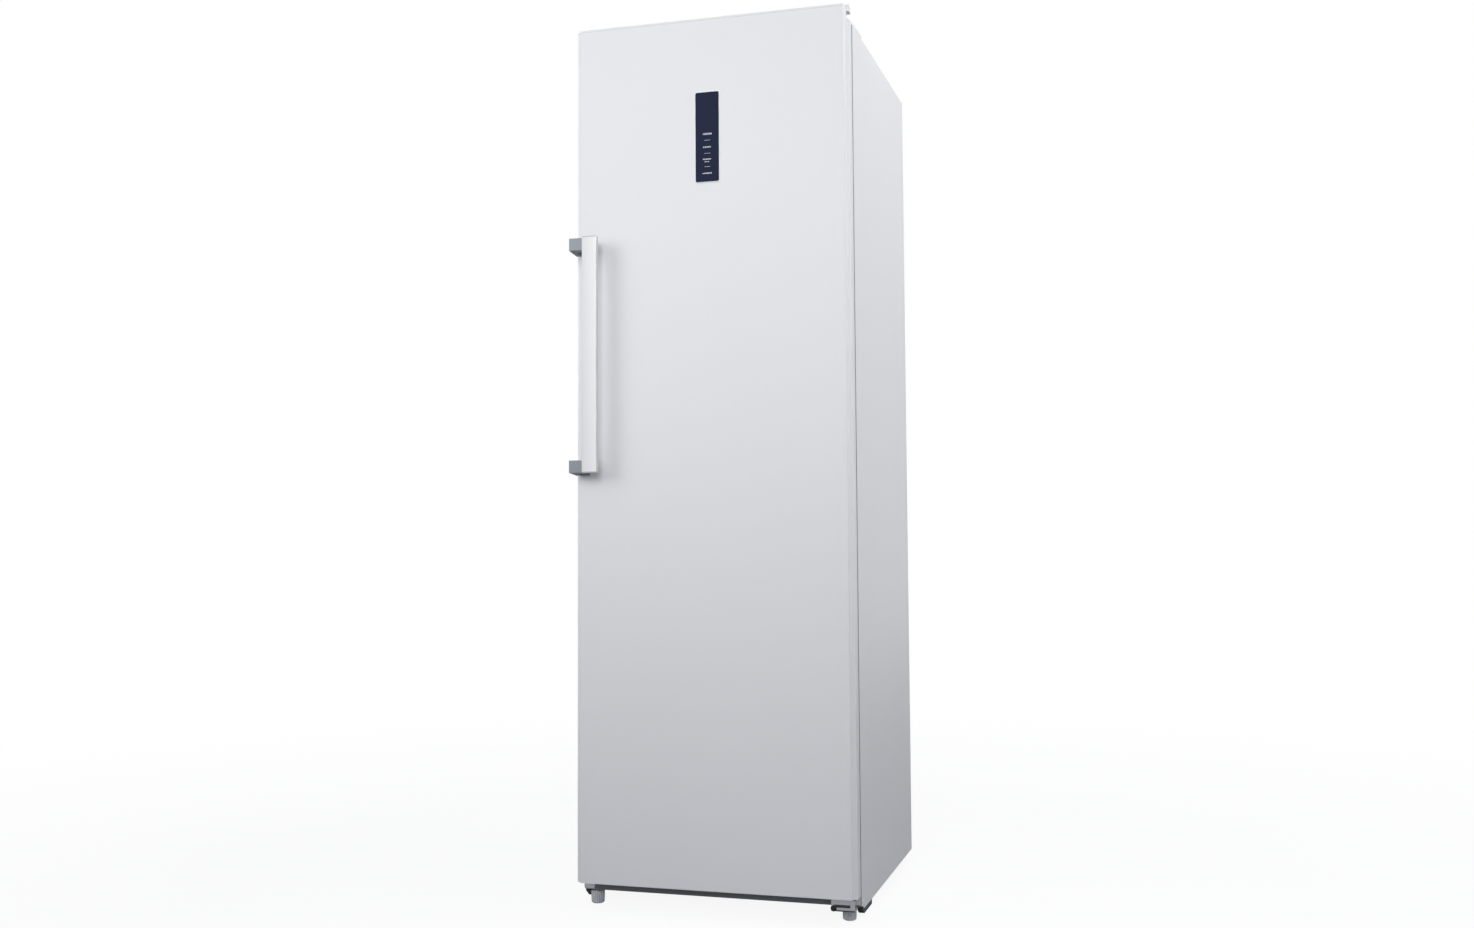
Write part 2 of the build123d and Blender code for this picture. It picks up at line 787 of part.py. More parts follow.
def drawer(index):
    """One drawer: a tapered tub with a rim, a clear front and a grip rail."""
    z0 = drawer_floor(index)
    z1 = shelf_levels[index] - drawer_top_play
    y0 = store_front
    y1 = (step_y if index == 0 else duct_front) - drawer_play
    rim_reach = open_half - drawer_play
    tub = drawer_tub(y0, y1 - drawer_rim, z0, z1, z0, 0.0, z1)
    tub = tub + block(-rim_reach, rim_reach, y0, y1, z1 - drawer_rim_sheet, z1)
    tub = tub + drawer_front(y0 - front_sheet, z0, z1)
    tub = tub - drawer_tub(y0, y1 - drawer_rim, z0, z1, z0 + drawer_wall, drawer_wall, z1 + 1)
    if index:
        foot_y = y1 - drawer_rim - 4 * drawer_bevel
        for side in (-1, 1):
            x = side * rim_reach * 0.7
            tub = tub + block(x - drawer_rim, x + drawer_rim, foot_y, foot_y + 2 * drawer_rim,
                              z0 - trim_sheet, z0 + drawer_wall / 2)
    return tub


def drawer_front(y0, z0, z1):
    """The clear front plate with the hooked grip rail along its top."""
    high = z1 + drawer_top_play / 3
    reach = open_half - drawer_play
    y_in = y0 + front_sheet
    tip = y0 - grip_reach
    outline = [(y_in, z0), (y_in, high), (tip, high), (tip, high - grip_drop),
               (tip + front_sheet, high - grip_drop), (tip + front_sheet, high - front_sheet),
               (y0, high - front_sheet), (y0, z0)]
    plate = along_x(outline, -reach, reach)
    rounding = [e for e in plate.edges().filter_by(Axis.X)
                if abs(e.center().Y - tip) < 0.1 and abs(e.center().Z - high) < 0.1]
    return fillet(rounding, 2 * front_sheet)


def flap_pivot(index):
    """The pin axis (y, z) of a flap, counted from the lower flap."""
    top = (shelf_levels + [open_top])[drawer_count + index]
    return store_front + trim_depth / 2, top - ledge_height - flap_top_play - flap_pin_radius


def flap(index):
    """One clear flap, hung from pins at its upper corners, with a grip lip."""
    y, z = flap_pivot(index)
    low = shelf_levels[drawer_count - 1 + index] + glass + trim_sheet + flap_bottom_play
    reach = open_half - drawer_play - ledge
    plate_y = y - flap_sheet / 2
    plate = block(-reach, reach, plate_y, plate_y + flap_sheet, low, z)
    plate = plate + block(-reach, reach, y - flap_pin_radius, y + flap_pin_radius,
                          z - flap_pin_radius, z + flap_pin_radius)
    tip = plate_y - grip_reach
    lip = along_x([(plate_y, low), (plate_y, low + flap_sheet), (tip + flap_sheet, low + flap_sheet),
                   (tip + flap_sheet, low + grip_drop), (tip, low + grip_drop), (tip, low)],
                  -reach / 2, reach / 2)
    pin_end = open_half - 2
    return plate + lip + prism_x(-pin_end, pin_end, y, z, flap_pin_radius, rod_sides)


def flap_brackets():
    """The bearing blocks on the liner walls for the flap pins."""
    blocks = []
    for index in range(flap_count):
        y, z = flap_pivot(index)
        around = flap_pin_radius + 4 * run_play + flap_sheet
        bearing = block(open_half - drawer_play - ledge + fit_play, open_half, y - around, y + around,
                        z - around, z + flap_pin_radius + flap_top_play)
        hole = flap_pin_radius + run_play
        bearing = bearing - block(0, open_half + 1, y - hole, y + hole, z - hole, z + hole)
        blocks += [bearing, mirrored(bearing)]
    return Compound(blocks)


# ---- machine compartment ----
def compressor_tray():
    """The folded cross tray that carries the compressor."""
    reach = half - sheet
    y1 = cover_plane()
    y0 = y1 - tray_depth
    t = 2 * sheet
    outline = [(y0, tray_level), (y1, tray_level), (y1, tray_level + tray_lip),
               (y1 - t, tray_level + tray_lip), (y1 - t, tray_level + t), (y0 + t, tray_level + t),
               (y0 + t, tray_level + tray_lip), (y0, tray_level + tray_lip)]
    tray = along_x(outline, -reach, reach)
    for side in (-1, 1):
        x = side * (half - roller_inset)
        y = back - roller_setback
        beside = roller_width / 2 + roller_room + sheet
        along = roller_radius + roller_room
        tray = tray - block(x - beside, x + beside, y - along, y + along, 0, tray_level + tray_lip / 2)
    for x, z in cover_screw_spots():
        tray = tray - screw_hole(x, y1, z, (0, 1, 0), 2 * t)
    return tray


def compressor_place():
    """The compressor's axis and the level of its feet."""
    y = cover_plane() - tray_depth / 2
    return -compressor_share * half, y, tray_level + 2 * sheet + grommet_height


def foot_spots():
    x, y, _ = compressor_place()
    across = compressor_radius + 2 * seat + seam_flange
    along = tray_depth / 2 - 2.5 * foot_pad
    return [(x + i * across, y + j * along) for i in (-1, 1) for j in (-1, 1)]


def compressor():
    """The welded shell of two pressed halves, its seam and its foot plate."""
    x, y, z = compressor_place()
    r = compressor_radius
    h = compressor_height
    seam = h * 0.54
    around = r - seam_flange / 2
    lip = r + seam_flange
    outline = [(r * 0.7, foot_sheet), (around, h * 0.22), (around, seam - seam_flange),
               (lip, seam - seam_flange), (lip, seam + seam_flange), (r, seam + seam_flange),
               (r, h * 0.74), (r * 0.86, h * 0.91), (r * 0.5, h)]
    shell = compressor_shell(x, y, z, outline)
    reach = foot_spots()[-1][1] - y + foot_pad
    plate = block(x - r / 2, x + r / 2, y - reach, y + reach, z, z + foot_sheet + sheet)
    hole = 2 * (grommet_neck + seat)
    holes = []
    for spot_x, spot_y in foot_spots():
        out = 1 if spot_x > x else -1
        inner = x + out * r * 0.3
        outer = spot_x + out * foot_pad
        plate = plate + block(min(inner, outer), max(inner, outer), spot_y - foot_pad,
                              spot_y + foot_pad, z, z + foot_sheet)
        holes.append(Pos(spot_x, spot_y, z) * Box(hole, hole, 4 * foot_sheet))
    return shell + (plate - holes)


def compressor_shell(x, y, z, outline):
    """The shell from its (radius, level) outline, as rings of flat faces."""
    rings = []
    for radius, level in outline:
        turns = [2 * pi * k / shell_sides for k in range(shell_sides)]
        rings.append([Vector(x + radius * cos(a), y + radius * sin(a), z + level) for a in turns])
    faces = [make_face(Polyline(ring_points, close=True)) for ring_points in (rings[0], rings[-1])]
    for low, high in zip(rings, rings[1:]):
        for k in range(shell_sides):
            after = (k + 1) % shell_sides
            faces.append(make_face(Polyline([low[k], low[after], high[after], high[k]], close=True)))
    return Solid(Shell([shape.faces()[0] for shape in faces]))


def compressor_grommets():
    """The four rubber mounts between the compressor feet and the tray."""
    z = tray_level + 2 * sheet
    mounts = []
    for x, y in foot_spots():
        base = prism_z(x, y, z, z + grommet_height, grommet_radius, 8)
        mounts.append(base + prism_z(x, y, z, z + grommet_height + 2 * foot_sheet, grommet_neck, 8))
    return Compound(mounts)


def terminal_cover():
    """The starter and terminal box on the compressor's side."""
    x, y, z = compressor_place()
    x0 = x + compressor_radius + seam_flange
    level = z + 0.2 * compressor_height
    box = block(x0, x0 + terminal_depth, y - terminal_width / 2, y + terminal_width / 2,
                level, level + terminal_height)
    return fillet(box.edges().filter_by(Axis.Y).sort_by(Axis.X)[-2:], terminal_radius)


def evaporation_tray():
    """The open drip tray above the compressor."""
    x, y, z = compressor_place()
    low = z + compressor_height + seat
    tray = drip_block(x, y, low, low + drip_height, 0.0)
    return tray - drip_block(x, y, low + drip_wall, low + drip_height + 1, drip_wall)


def drip_block(x, y, z0, z1, shrink):
    """A block with bevelled upright edges, smaller by shrink all round."""
    reach = drip_width / 2 - shrink
    deep = drip_depth / 2 - shrink
    shape = block(x - reach, x + reach, y - deep, y + deep, z0, z1)
    return chamfer(shape.edges().filter_by(Axis.Z), drip_bevel - shrink / 2)


def refrigerant_pipes():
    """The suction and discharge pipes and the filter drier on its stand."""
    x, y, z = compressor_place()
    side = x - compressor_radius
    level = z + 0.36 * compressor_height
    rise = niche_top - sheet - pipe_drop
    wall = niche_front + sheet + 2 * seat
    outer = -half + sheet + pipe_inset
    inner = outer + pipe_step
    suction = bent_tube([(side - seam_flange, y, level), (inner, y, level), (inner, y, rise),
                         (inner, wall, rise)], pipe_radius, pipe_bend)
    y1 = y - discharge_offset
    level = level + drier_radius
    rise = rise - 2 * pipe_drop
    start = x - (compressor_radius ** 2 - discharge_offset ** 2) ** 0.5 - seam_flange
    discharge = bent_tube([(start, y1, level), (outer, y1, level), (outer, y1, rise),
                           (outer, wall, rise)], 0.8 * pipe_radius, pipe_bend)
    x0 = x + compressor_radius + drier_offset
    across = Plane(origin=(x0, y, z + drier_rise), x_dir=(0, 1, 0), z_dir=(1, 0, 0))
    drier = extrude(across * RegularPolygon(drier_radius, 12), drier_length)
    middle = x0 + drier_length / 2
    stand = block(middle - drier_stand / 2, middle + drier_stand / 2, y - drier_stand / 2,
                  y + drier_stand / 2, tray_level + 2 * sheet, z + drier_rise - drier_radius / 2)
    return Compound([suction, discharge, drier + stand])


def machine_cover():
    """The louvred rear cover of the machine compartment."""
    y0 = cover_plane()
    z0 = tray_level + 4
    z1 = niche_top - seat
    reach = half - rear_flange - seat
    cover = block(-reach, reach, y0, y0 + sheet, z0, z1)
    slots = []
    for column in (-1.5, -0.5, 0.5, 1.5):
        for row in range(louvre_rows):
            slots.append(slab(louvre_width, louvre_height, y0 - 1, back + 1,
                              column * (louvre_width + louvre_height * 3),
                              z0 + louvre_start + louvre_pitch * row))
    for x, z in cover_screw_spots():
        slots.append(screw_hole(x, y0, z, (0, 1, 0), 2 * sheet))
    slots.append(prism_y(cord_x(), y0 - 1, back, cord_z(), cord_hole, 8))
    return cover - slots


def cord_x():
    return half - cord_inset


def cord_z():
    return tray_level + cord_rise


def cord_grommet():
    """The rubber gland behind the cover where the mains lead leaves."""
    y1 = cover_plane()
    gland = prism_y(cord_x(), y1 - gland_depth, y1, cord_z(), gland_radius, 12)
    return gland - prism_y(cord_x(), y1 - gland_depth - 1, y1 + 1, cord_z(), cord_radius, 8)


def control_board():
    """The main circuit board with its larger parts."""
    z0 = board_bottom()
    y = back - sheet - bead_depth - board_box_depth + board_standoff
    reach = board_width / 2 - board_margin
    front_y = y + board_sheet
    low = z0 + board_margin
    high = z0 + board_height - board_margin
    board = block(-reach, reach, y, front_y, low, high)
    for x, z, wide, tall, deep in board_parts:
        board = board + block(x - wide / 2, x + wide / 2, front_y, front_y + deep,
                              z0 + z - tall / 2, z0 + z + tall / 2)
    foot = board_margin - 2 * board_sheet
    for x in (-reach, reach - foot):
        for z in (low, high - foot):
            board = board + block(x, x + foot, y - board_standoff, y, z, z + foot)
    return board


def control_box_cover():
    """The shallow cover over the control board in the back panel."""
    z = board_bottom() + board_height / 2
    y0 = back - sheet
    plate = slab(board_width + 2 * board_cover_lip, board_height + 2 * board_cover_lip,
                 y0 - bead_depth + board_cover_play, y0, 0, z, board_cover_radius)
    return plate + slab(board_width - 2 * seat, board_height - 2 * seat, y0, back, 0, z)


def roller_brackets():
    """The bent roller forks with their axles under the rear corners."""
    y = back - roller_setback
    z = roller_radius
    t = 2 * sheet
    x = half - roller_inset
    inner = roller_width / 2 + fit_play
    top = tray_level + tray_lip
    outline = [(y - fork_top, top), (y - fork_foot, z - fork_drop), (y + fork_foot, z - fork_drop),
               (y + fork_top, top)]
    fork = along_x(outline, x - inner - t, x - inner) + along_x(outline, x + inner, x + inner + t)
    fork = fork + block(x - inner - t, half - sheet, y - fork_top, y + fork_top, top, top + t)
    fork = fork + block(half - sheet - t, half - sheet, y - fork_top, y + fork_top,
                        top - fork_lug_low, top + fork_lug_high)
    fork = fork + prism_x(x - inner, x + inner, y, z, axle_radius, rod_sides)
    return Compound([fork, mirrored(fork)])


def rear_roller(side):
    """One rear roller on its axle."""
    x = side * (half - roller_inset)
    y = back - roller_setback
    z = roller_radius
    wheel = prism_x(x - roller_width / 2, x + roller_width / 2, y, z, roller_radius, 2 * rod_sides)
    bore = Plane(origin=(x - roller_width, y, z), x_dir=(0, 1, 0), z_dir=(1, 0, 0)) * RegularPolygon(
        axle_radius + run_play, 8, major_radius=False)
    return wheel - extrude(bore, 2 * roller_width)


# ---- feet ----
def stud_top():
    return pan_level + stud_rise


def front_foot(side):
    """One levelling foot: a ribbed knob on a threaded stud."""
    x = side * (half - foot_inset)
    y = front + foot_setback
    outline = []
    for k in range(2 * rib_count):
        radius = foot_radius if k % 2 else foot_radius - rib_depth
        for turn in (-0.5, 0.5):
            angle = pi * (k + turn * 0.8) / rib_count
            outline.append((x + radius * cos(angle), y + radius * sin(angle)))
    knob = along_z(outline, 0, foot_height)
    return knob + prism_z(x, y, foot_height, stud_top(), stud_radius, rod_sides)


# ---- hinges ----
def top_hinge_plate():
    """The bent plate on the cabinet top with the arm that holds the upper pin."""
    x0, x1, y0, y1 = top_plate_edges()
    z0 = cabinet_top
    base = block(x0, x1, y0, y1, z0, z0 + hinge_sheet)
    low = z0 + seat + hinge_lift
    high = low + hinge_sheet
    y_root = y0 + joggle_depth
    flank = arm_radius * 0.7
    arm = along_z([(hinge_x - arm_radius, hinge_y), (hinge_x + flank, hinge_y + flank),
                   (hinge_x - arm_root_end, y_root), (hinge_x - arm_root, y_root)], low, high)
    eye = rod_z(hinge_x, hinge_y, low, high, arm_radius)
    joggle = block(hinge_x - arm_root, hinge_x - arm_root_end, y0, y_root, z0, high)
    plate = base + arm + eye + joggle
    plate = plate - eyelet_z(hinge_x, hinge_y, z0 - 1, high + 1, pin_radius)
    for x, y in top_bolt_spots():
        plate = plate - screw_hole(x, y, z0, (0, 0, 1), 2 * hinge_sheet)
    return plate


def top_plate_edges():
    """The outline (x0, x1, y0, y1) of the upper hinge's base plate."""
    x1 = half - hinge_plate_play
    y0 = face + hinge_plate_play
    return x1 - hinge_plate_width, x1, y0, y0 + hinge_plate_depth


def top_bolt_spots():
    x0, x1, y0, y1 = top_plate_edges()
    return [(x1 - bolt_inset, y1 - bolt_setback), (x0 + bolt_inset, y0 + bolt_front),
            (x0 + bolt_inset, y1 - bolt_setback)]


def top_hinge_pin():
    """The upper pin: head on the arm, journal in the door bush."""
    head = cabinet_top + seat + hinge_lift + hinge_sheet
    pin = rod_z(hinge_x, hinge_y, recess_bottom - door_plug + pin_end_room, head, pin_radius)
    return pin + prism_z(hinge_x, hinge_y, head, head + pin_head, pin_radius + bush_wall, 6)


def top_hinge_cover():
    """The moulded cover over the upper hinge plate."""
    z0 = cabinet_top
    z1 = z0 + hinge_cover_height
    x1 = half - hinge_cover_inset
    x0 = x1 - hinge_cover_width
    y0 = face + hinge_cover_setback
    y1 = y0 + hinge_cover_depth
    w = cover_wall
    shell = block(x0, x1, y0, y1, z0, z1)
    shell = fillet(shell.edges().filter_by(Axis.Z), hinge_cover_radius)
    shell = chamfer(shell.edges().group_by(Axis.Z)[-1], hinge_cover_bevel)
    hollow = block(x0 + w, x1 - w, y0 + w, y1 - w, z0 - 1, z1 - w)
    hollow = chamfer(hollow.edges().filter_by(Axis.Z), hinge_cover_radius / 2)
    mouth = block(hinge_x - arm_root - hinge_cover_setback, hinge_x + 2 * fit_play, y0 - 1,
                  y0 + w + 2 * fit_play, z0 - 1, z0 + 2 * hinge_sheet + fit_play)
    return shell - hollow - mouth


def lower_plate_levels():
    """The underside and top of the lower hinge's carrying flange."""
    top = door_bottom - bush_flange - seat
    return top - hinge_sheet, top


def bottom_hinge_plate():
    """The stepped lower hinge: mounting flange, slotted riser and pin flange."""
    x1 = half - lower_hinge_inset
    x0 = hinge_left()
    pin_low, pin_top = lower_plate_levels()
    y0 = hinge_y - arm_radius
    low = lower_flange_level()
    t = hinge_sheet
    rear = front + foot_setback + foot_radius + rail_room - fit_play
    outline = [(y0, pin_top), (hinge_y + arm_radius, pin_top), (hinge_y + arm_radius, pin_low),
               (y0 + t, pin_low), (y0 + t, low + t), (rear, low + t), (rear, low), (y0, low)]
    plate = along_x(outline, x0, x1)
    plate = plate - block(half - corner_block_width - seat, x1 + 1, door_back, rear + 1, 0, low + t + 1)
    slot_z = (low + t + pin_low) / 2
    plate = plate - slab(lower_slot_width, lower_slot_height, y0 - 1, y0 + t + 1,
                         x0 + lower_slot_place, slot_z)
    plate = plate - eyelet_z(hinge_x, hinge_y, pin_low - 1, pin_top + 1, pin_radius)
    plate = plate - eyelet_z(half - foot_inset, front + foot_setback, 0, low + t + 1, stud_radius + run_play)
    for x, y in lower_bolt_spots():
        plate = plate - screw_hole(x, y, low, (0, 0, 1), 2 * t)
    return plate


def lower_flange_level():
    """The underside of the lower hinge's mounting flange, below the crossmember."""
    return pan_level - 3 * sheet - hinge_sheet


def lower_bolt_spots():
    y = face + screw_head + fit_play
    x = hinge_left() + screw_head + fit_play
    return [(x, y), (x, y + 3 * screw_head)]


def bottom_hinge_pin():
    """The lower pin with its peened end under the plate."""
    pin_low, _ = lower_plate_levels()
    pin = rod_z(hinge_x, hinge_y, pin_low, door_bottom + door_plug - pin_end_room, pin_radius)
    return pin + prism_z(hinge_x, hinge_y, pin_low - hinge_sheet, pin_low, pin_radius + bush_wall / 2, 8)


def cabinet_fasteners():
    """The hinge bolts and the screws of the machine compartment's cover."""
    pieces = []
    for x, y in top_bolt_spots():
        pieces.append(hex_screw(x, y, cabinet_top + hinge_sheet, (0, 0, -1), hinge_sheet))
    for x, y in lower_bolt_spots():
        pieces.append(hex_screw(x, y, lower_flange_level(), (0, 0, 1), hinge_sheet))
    for x, z in cover_screw_spots():
        pieces.append(hex_screw(x, cover_plane() + sheet, z, (0, -1, 0), 2 * screw_head))
    return Compound(pieces)


# ---- door ----
def door_outline(grow):
    """The door's plan outline (x, y): flat front, rounded vertical edges."""
    h = half + grow
    y0 = front - grow
    r = door_edge_radius + grow
    with BuildSketch() as plan:
        with BuildLine():
            Polyline((-h, door_back), (-h, y0 + r))
            RadiusArc((-h, y0 + r), (-h + r, y0), r)
            Line((-h + r, y0), (h - r, y0))
            RadiusArc((h - r, y0), (h, y0 + r), r)
            Polyline((h, y0 + r), (h, door_back), (-h, door_back))
        make_face()
    return plan.sketch


def cap_profile(x0, x1, z_low):
    """The door's side view near the top: flat, then sloping down to the back."""
    y_flat = front + cap_slope_depth
    rear_z = recess_bottom + cap_rear_rise
    outline = [(front - 1, z_low), (front - 1, height), (y_flat, height),
               (door_back, rear_z), (door_back + 1, rear_z), (door_back + 1, z_low)]
    return along_x(outline, x0, x1)


def hinge_recess():
    """The pocket that the upper hinge arm swings in."""
    y0 = hinge_y - arm_radius - hinge_cover_inset
    return block(recess_left(), half + 1, y0, door_back + 1, recess_bottom, recess_top)


def recess_left():
    """The left end of that pocket."""
    return hinge_x - 4 * arm_radius


def door_skin():
    """The painted sheet: front, rounded edges, sides and rear returns."""
    z_low = skin_bottom
    tall = skin_top - z_low
    skin = extrude(Pos(0, 0, z_low) * door_outline(0.0), tall)
    inner = extrude(Pos(0, 0, z_low) * door_outline(-skin_sheet), tall)
    hollow = inner - block(-half, half, door_back - skin_sheet, door_back + 1, z_low, skin_top)
    reach = half - skin_return
    hollow = hollow + block(-reach, reach, door_back - 2 * skin_sheet, door_back + 1, z_low, skin_top)
    skin = skin - hollow
    skin = skin & cap_profile(-half, half, z_low)
    skin = skin - hinge_recess()
    return skin - slab(display_width, display_height, front - 1, front + 2 * skin_sheet, display_offset,
                       display_z, display_radius)


def door_top_cap():
    """The moulded upper end cap with its lip, slope and hinge pocket."""
    lip = extrude(Pos(0, 0, skin_top) * door_outline(0.0), door_cap_lip)
    plug_low = recess_bottom - door_plug
    plug = extrude(Pos(0, 0, plug_low) * door_outline(-skin_sheet), skin_top - plug_low)
    plug = plug - block(-half, half, door_back - door_liner_sheet, door_back + 1, plug_low, skin_top)
    pocket = block(-half + cap_rib, recess_left() - cap_wall, front + cap_wall, door_back - 2 * cap_wall,
                   plug_low - 1, recess_bottom + cap_roof)
    cap = (lip + plug - pocket) & cap_profile(-half, half, plug_low)
    cap = cap - hinge_recess()
    hole = prism_z(hinge_x, hinge_y, plug_low - 1, recess_bottom + 1, pin_radius + bush_wall, 8)
    head_room = prism_z(hinge_x, hinge_y, recess_bottom - bush_flange, recess_bottom + 1,
                        pin_radius + 2 * bush_wall, 8)
    return cap - hole - head_room


def door_bottom_cap():
    """The moulded lower end cap with its lip and the seat of the lower bush."""
    lip = extrude(Pos(0, 0, door_bottom) * door_outline(0.0), door_cap_lip)
    plug_top = door_bottom + door_plug
    plug = extrude(Pos(0, 0, skin_bottom) * door_outline(-skin_sheet), plug_top - skin_bottom)
    plug = plug - block(-half, half, door_back - door_liner_sheet, door_back + 1, skin_bottom, plug_top)
    pocket = block(-half + cap_rib, recess_left(), front + cap_wall, door_back - 2 * cap_wall,
                   skin_bottom, plug_top + 1)
    cap = lip + plug - pocket
    return cap - prism_z(hinge_x, hinge_y, door_bottom - 1, plug_top + 1, pin_radius + bush_wall, 8)


def hinge_bushes():
    """The flanged eight-sided plastic bushes that turn on the hinge pins."""
    return Compound([bush(door_bottom, door_bottom + door_plug, door_bottom - bush_flange),
                     bush(recess_bottom, recess_bottom - door_plug, recess_bottom - bush_flange)])


def bush(root, end, flange_level):
    """One bush between two levels, with its flange next to the root level."""
    outer = pin_radius + bush_wall
    body = prism_z(hinge_x, hinge_y, min(root, end), max(root, end), outer, 8)
    body = body + prism_z(hinge_x, hinge_y, flange_level, flange_level + bush_flange, outer + bush_wall, 8)
    return body - eyelet_z(hinge_x, hinge_y, min(end, flange_level) - 1, max(root, end) + 1,
                           pin_radius + run_play)


def dam(shrink, rounded=True):
    """The raised inner panel, tapered towards the cabinet, with rounded or cut corners."""
    def outline(y):
        inset = door_dam_play + shrink + door_dam_taper * (y - door_back)
        level = Plane(origin=(0, y, (open_top + open_bottom) / 2), x_dir=(1, 0, 0), z_dir=(0, 1, 0))
        wide = 2 * (open_half - inset)
        tall = open_top - open_bottom - 2 * inset
        if rounded:
            return level * RectangleRounded(wide, tall, door_dam_radius)
        return level * chamfer(Rectangle(wide, tall).vertices(), door_dam_radius)

    return loft([outline(door_back - 2 * door_liner_sheet), outline(door_back + door_dam - shrink)],
                ruled=not rounded)


def door_liner():
    """The formed inner door panel with its gasket border."""
    border_half = half - skin_return - seat
    z0 = skin_bottom
    z1 = recess_bottom - bush_flange
    sheet_y = door_back - door_liner_sheet
    panel = block(-border_half, border_half, sheet_y, door_back, z0, z1)
    panel = panel + (dam(0.0) - block(-half, half, front, sheet_y, 0, height))
    panel = panel - dam(door_liner_sheet)
    margin = door_dam_play + 2 * door_dam_radius
    top = door_back + door_dam
    groove = ring(2 * (open_half - margin), open_top - open_bottom - 2 * margin, door_groove,
                  top - door_groove_depth, top, (open_top + open_bottom) / 2)
    return panel - groove


def door_foam():
    """The rigid insulation inside the door."""
    z0 = door_bottom + door_plug
    z1 = recess_bottom - door_plug
    core = extrude(Pos(0, 0, z0) * door_outline(-skin_sheet), z1 - z0)
    core = core - block(-half, half, door_back - 2 * skin_sheet, door_back + 1, z0, z1)
    core = core & block(-half, half, front, door_back - door_liner_sheet, z0, z1)
    core = core + dam(door_liner_sheet + seat, rounded=False)
    pocket = slab(display_width, display_height, front, front + display_case_depth + seat,
                  display_offset, display_z)
    return core - pocket


def gasket_size():
    """The outer width and height and the middle level of the gasket."""
    wide = 2 * (hinge_x - fit_play)
    top = cabinet_top - 3 * fit_play
    bottom = door_bottom + door_plug / 4
    return wide, top - bottom, (top + bottom) / 2


def door_gasket():
    """The hollow door seal: retainer foot, bellows and magnet pocket."""
    wide, tall, z = gasket_size()
    w = gasket_width
    t = gasket_wall
    y0 = door_back
    y1 = face - gasket_play
    band = ring(wide, tall, w, y1 - 2.4 * t, y1, z)
    pocket = ring(wide - 2 * w * 0.2, tall - 2 * w * 0.2, w * 0.6, y1 - 1.7 * t, y1 - 0.7 * t, z)
    foot = ring(wide - w * 0.5, tall - w * 0.5, w * 0.5, y0, y0 + t, z)
    outer_web = ring(wide - w * 0.3, tall - w * 0.3, t, y0, y1 - t, z)
    inner_web = ring(wide - 1.5 * w, tall - 1.5 * w, t, y0, y1 - t, z)
    return band - pocket + foot + outer_web + inner_web


# ---- display ----
def display_panel():
    """The dark front glass of the display."""
    return slab(display_width - 2 * display_rim, display_height - 2 * display_rim,
                front - display_proud / 2, front + display_glass, display_offset, display_z, display_radius)


def display_housing():
    """The white carrier behind the glass, with its thin visible rim."""
    case = slab(display_width - 2 * display_play, display_height - 2 * display_play,
                front - display_proud, front + display_case_depth, display_offset, display_z, display_radius)
    glass_seat = slab(display_width - 2 * display_rim, display_height - 2 * display_rim, front - 1,
                      front + display_glass, display_offset, display_z, display_radius)
    hollow = slab(display_width - 2 * display_case_wall, display_height - 2 * display_case_wall,
                  front + display_glass + display_case_wall / 2, front + display_case_depth + 1,
                  display_offset, display_z)
    return case - glass_seat - hollow


# ---- handle ----
def handle_levels():
    return handle_bottom, handle_bottom + handle_length


def handle_bar():
    """The flat upright grip bar with rounded long edges."""
    x0 = -half + handle_left + bracket_width
    z0, z1 = handle_levels()
    y0 = front - handle_reach
    bar = block(x0, x0 + bar_width, y0, y0 + bar_thickness, z0, z1)
    bar = fillet(bar.edges().filter_by(Axis.Z).group_by(Axis.Y)[0], bar_radius)
    return fillet(bar.edges().group_by(Axis.Z)[-1].sort_by(Axis.X)[-1:], bar_radius)


def handle_bracket(z0):
    """One cast bracket: flared foot on the door, post and tongue behind the bar."""
    x0 = -half + handle_left
    x1 = x0 + bracket_width
    y0 = front - handle_reach + bracket_set
    y1 = front
    z1 = z0 + bracket_height
    outline = [(y0, z0), (y0, z1), (y1, z1), (y1, z0 - bracket_flare)]
    post = along_x(outline, x0, x1)
    tongue_y = front - handle_reach + bar_thickness
    hollow = block(x0 + bracket_post, x1 + 1, tongue_y + tongue_sheet, front - bracket_foot,
                   z0 - 2 * bracket_flare, z1 + 1)
    tongue = block(x1, x1 + bar_width - tongue_inset, tongue_y, tongue_y + tongue_sheet,
                   z0 + tongue_margin, z1 - tongue_margin)
    tongue = chamfer(tongue.edges().filter_by(Axis.Y).sort_by(Axis.X)[-2:], tongue_bevel)
    bracket = post - hollow + tongue
    bracket = bracket - screw_hole(x1 + bar_width / 2, tongue_y, z0 + bracket_height / 2, (0, 1, 0),
                                   2 * tongue_sheet)
    return fillet(bracket.edges().filter_by(Axis.Z).group_by(Axis.Y)[0].sort_by(Axis.X)[:1],
                  tongue_margin)


def bracket_levels():
    """The undersides of the upper and the lower bracket."""
    z0, z1 = handle_levels()
    return z1 - bracket_height - upper_bracket_drop, z0 + lower_bracket_rise


def handle_brackets():
    return Compound([handle_bracket(z) for z in bracket_levels()])


def handle_screws():
    """The screws that hold the bar to the bracket tongues."""
    x = -half + handle_left + bracket_width + bar_width / 2
    y = front - handle_reach + bar_thickness + tongue_sheet
    return Compound([hex_screw(x, y, z + bracket_height / 2, (0, -1, 0), tongue_sheet)
                     for z in bracket_levels()])


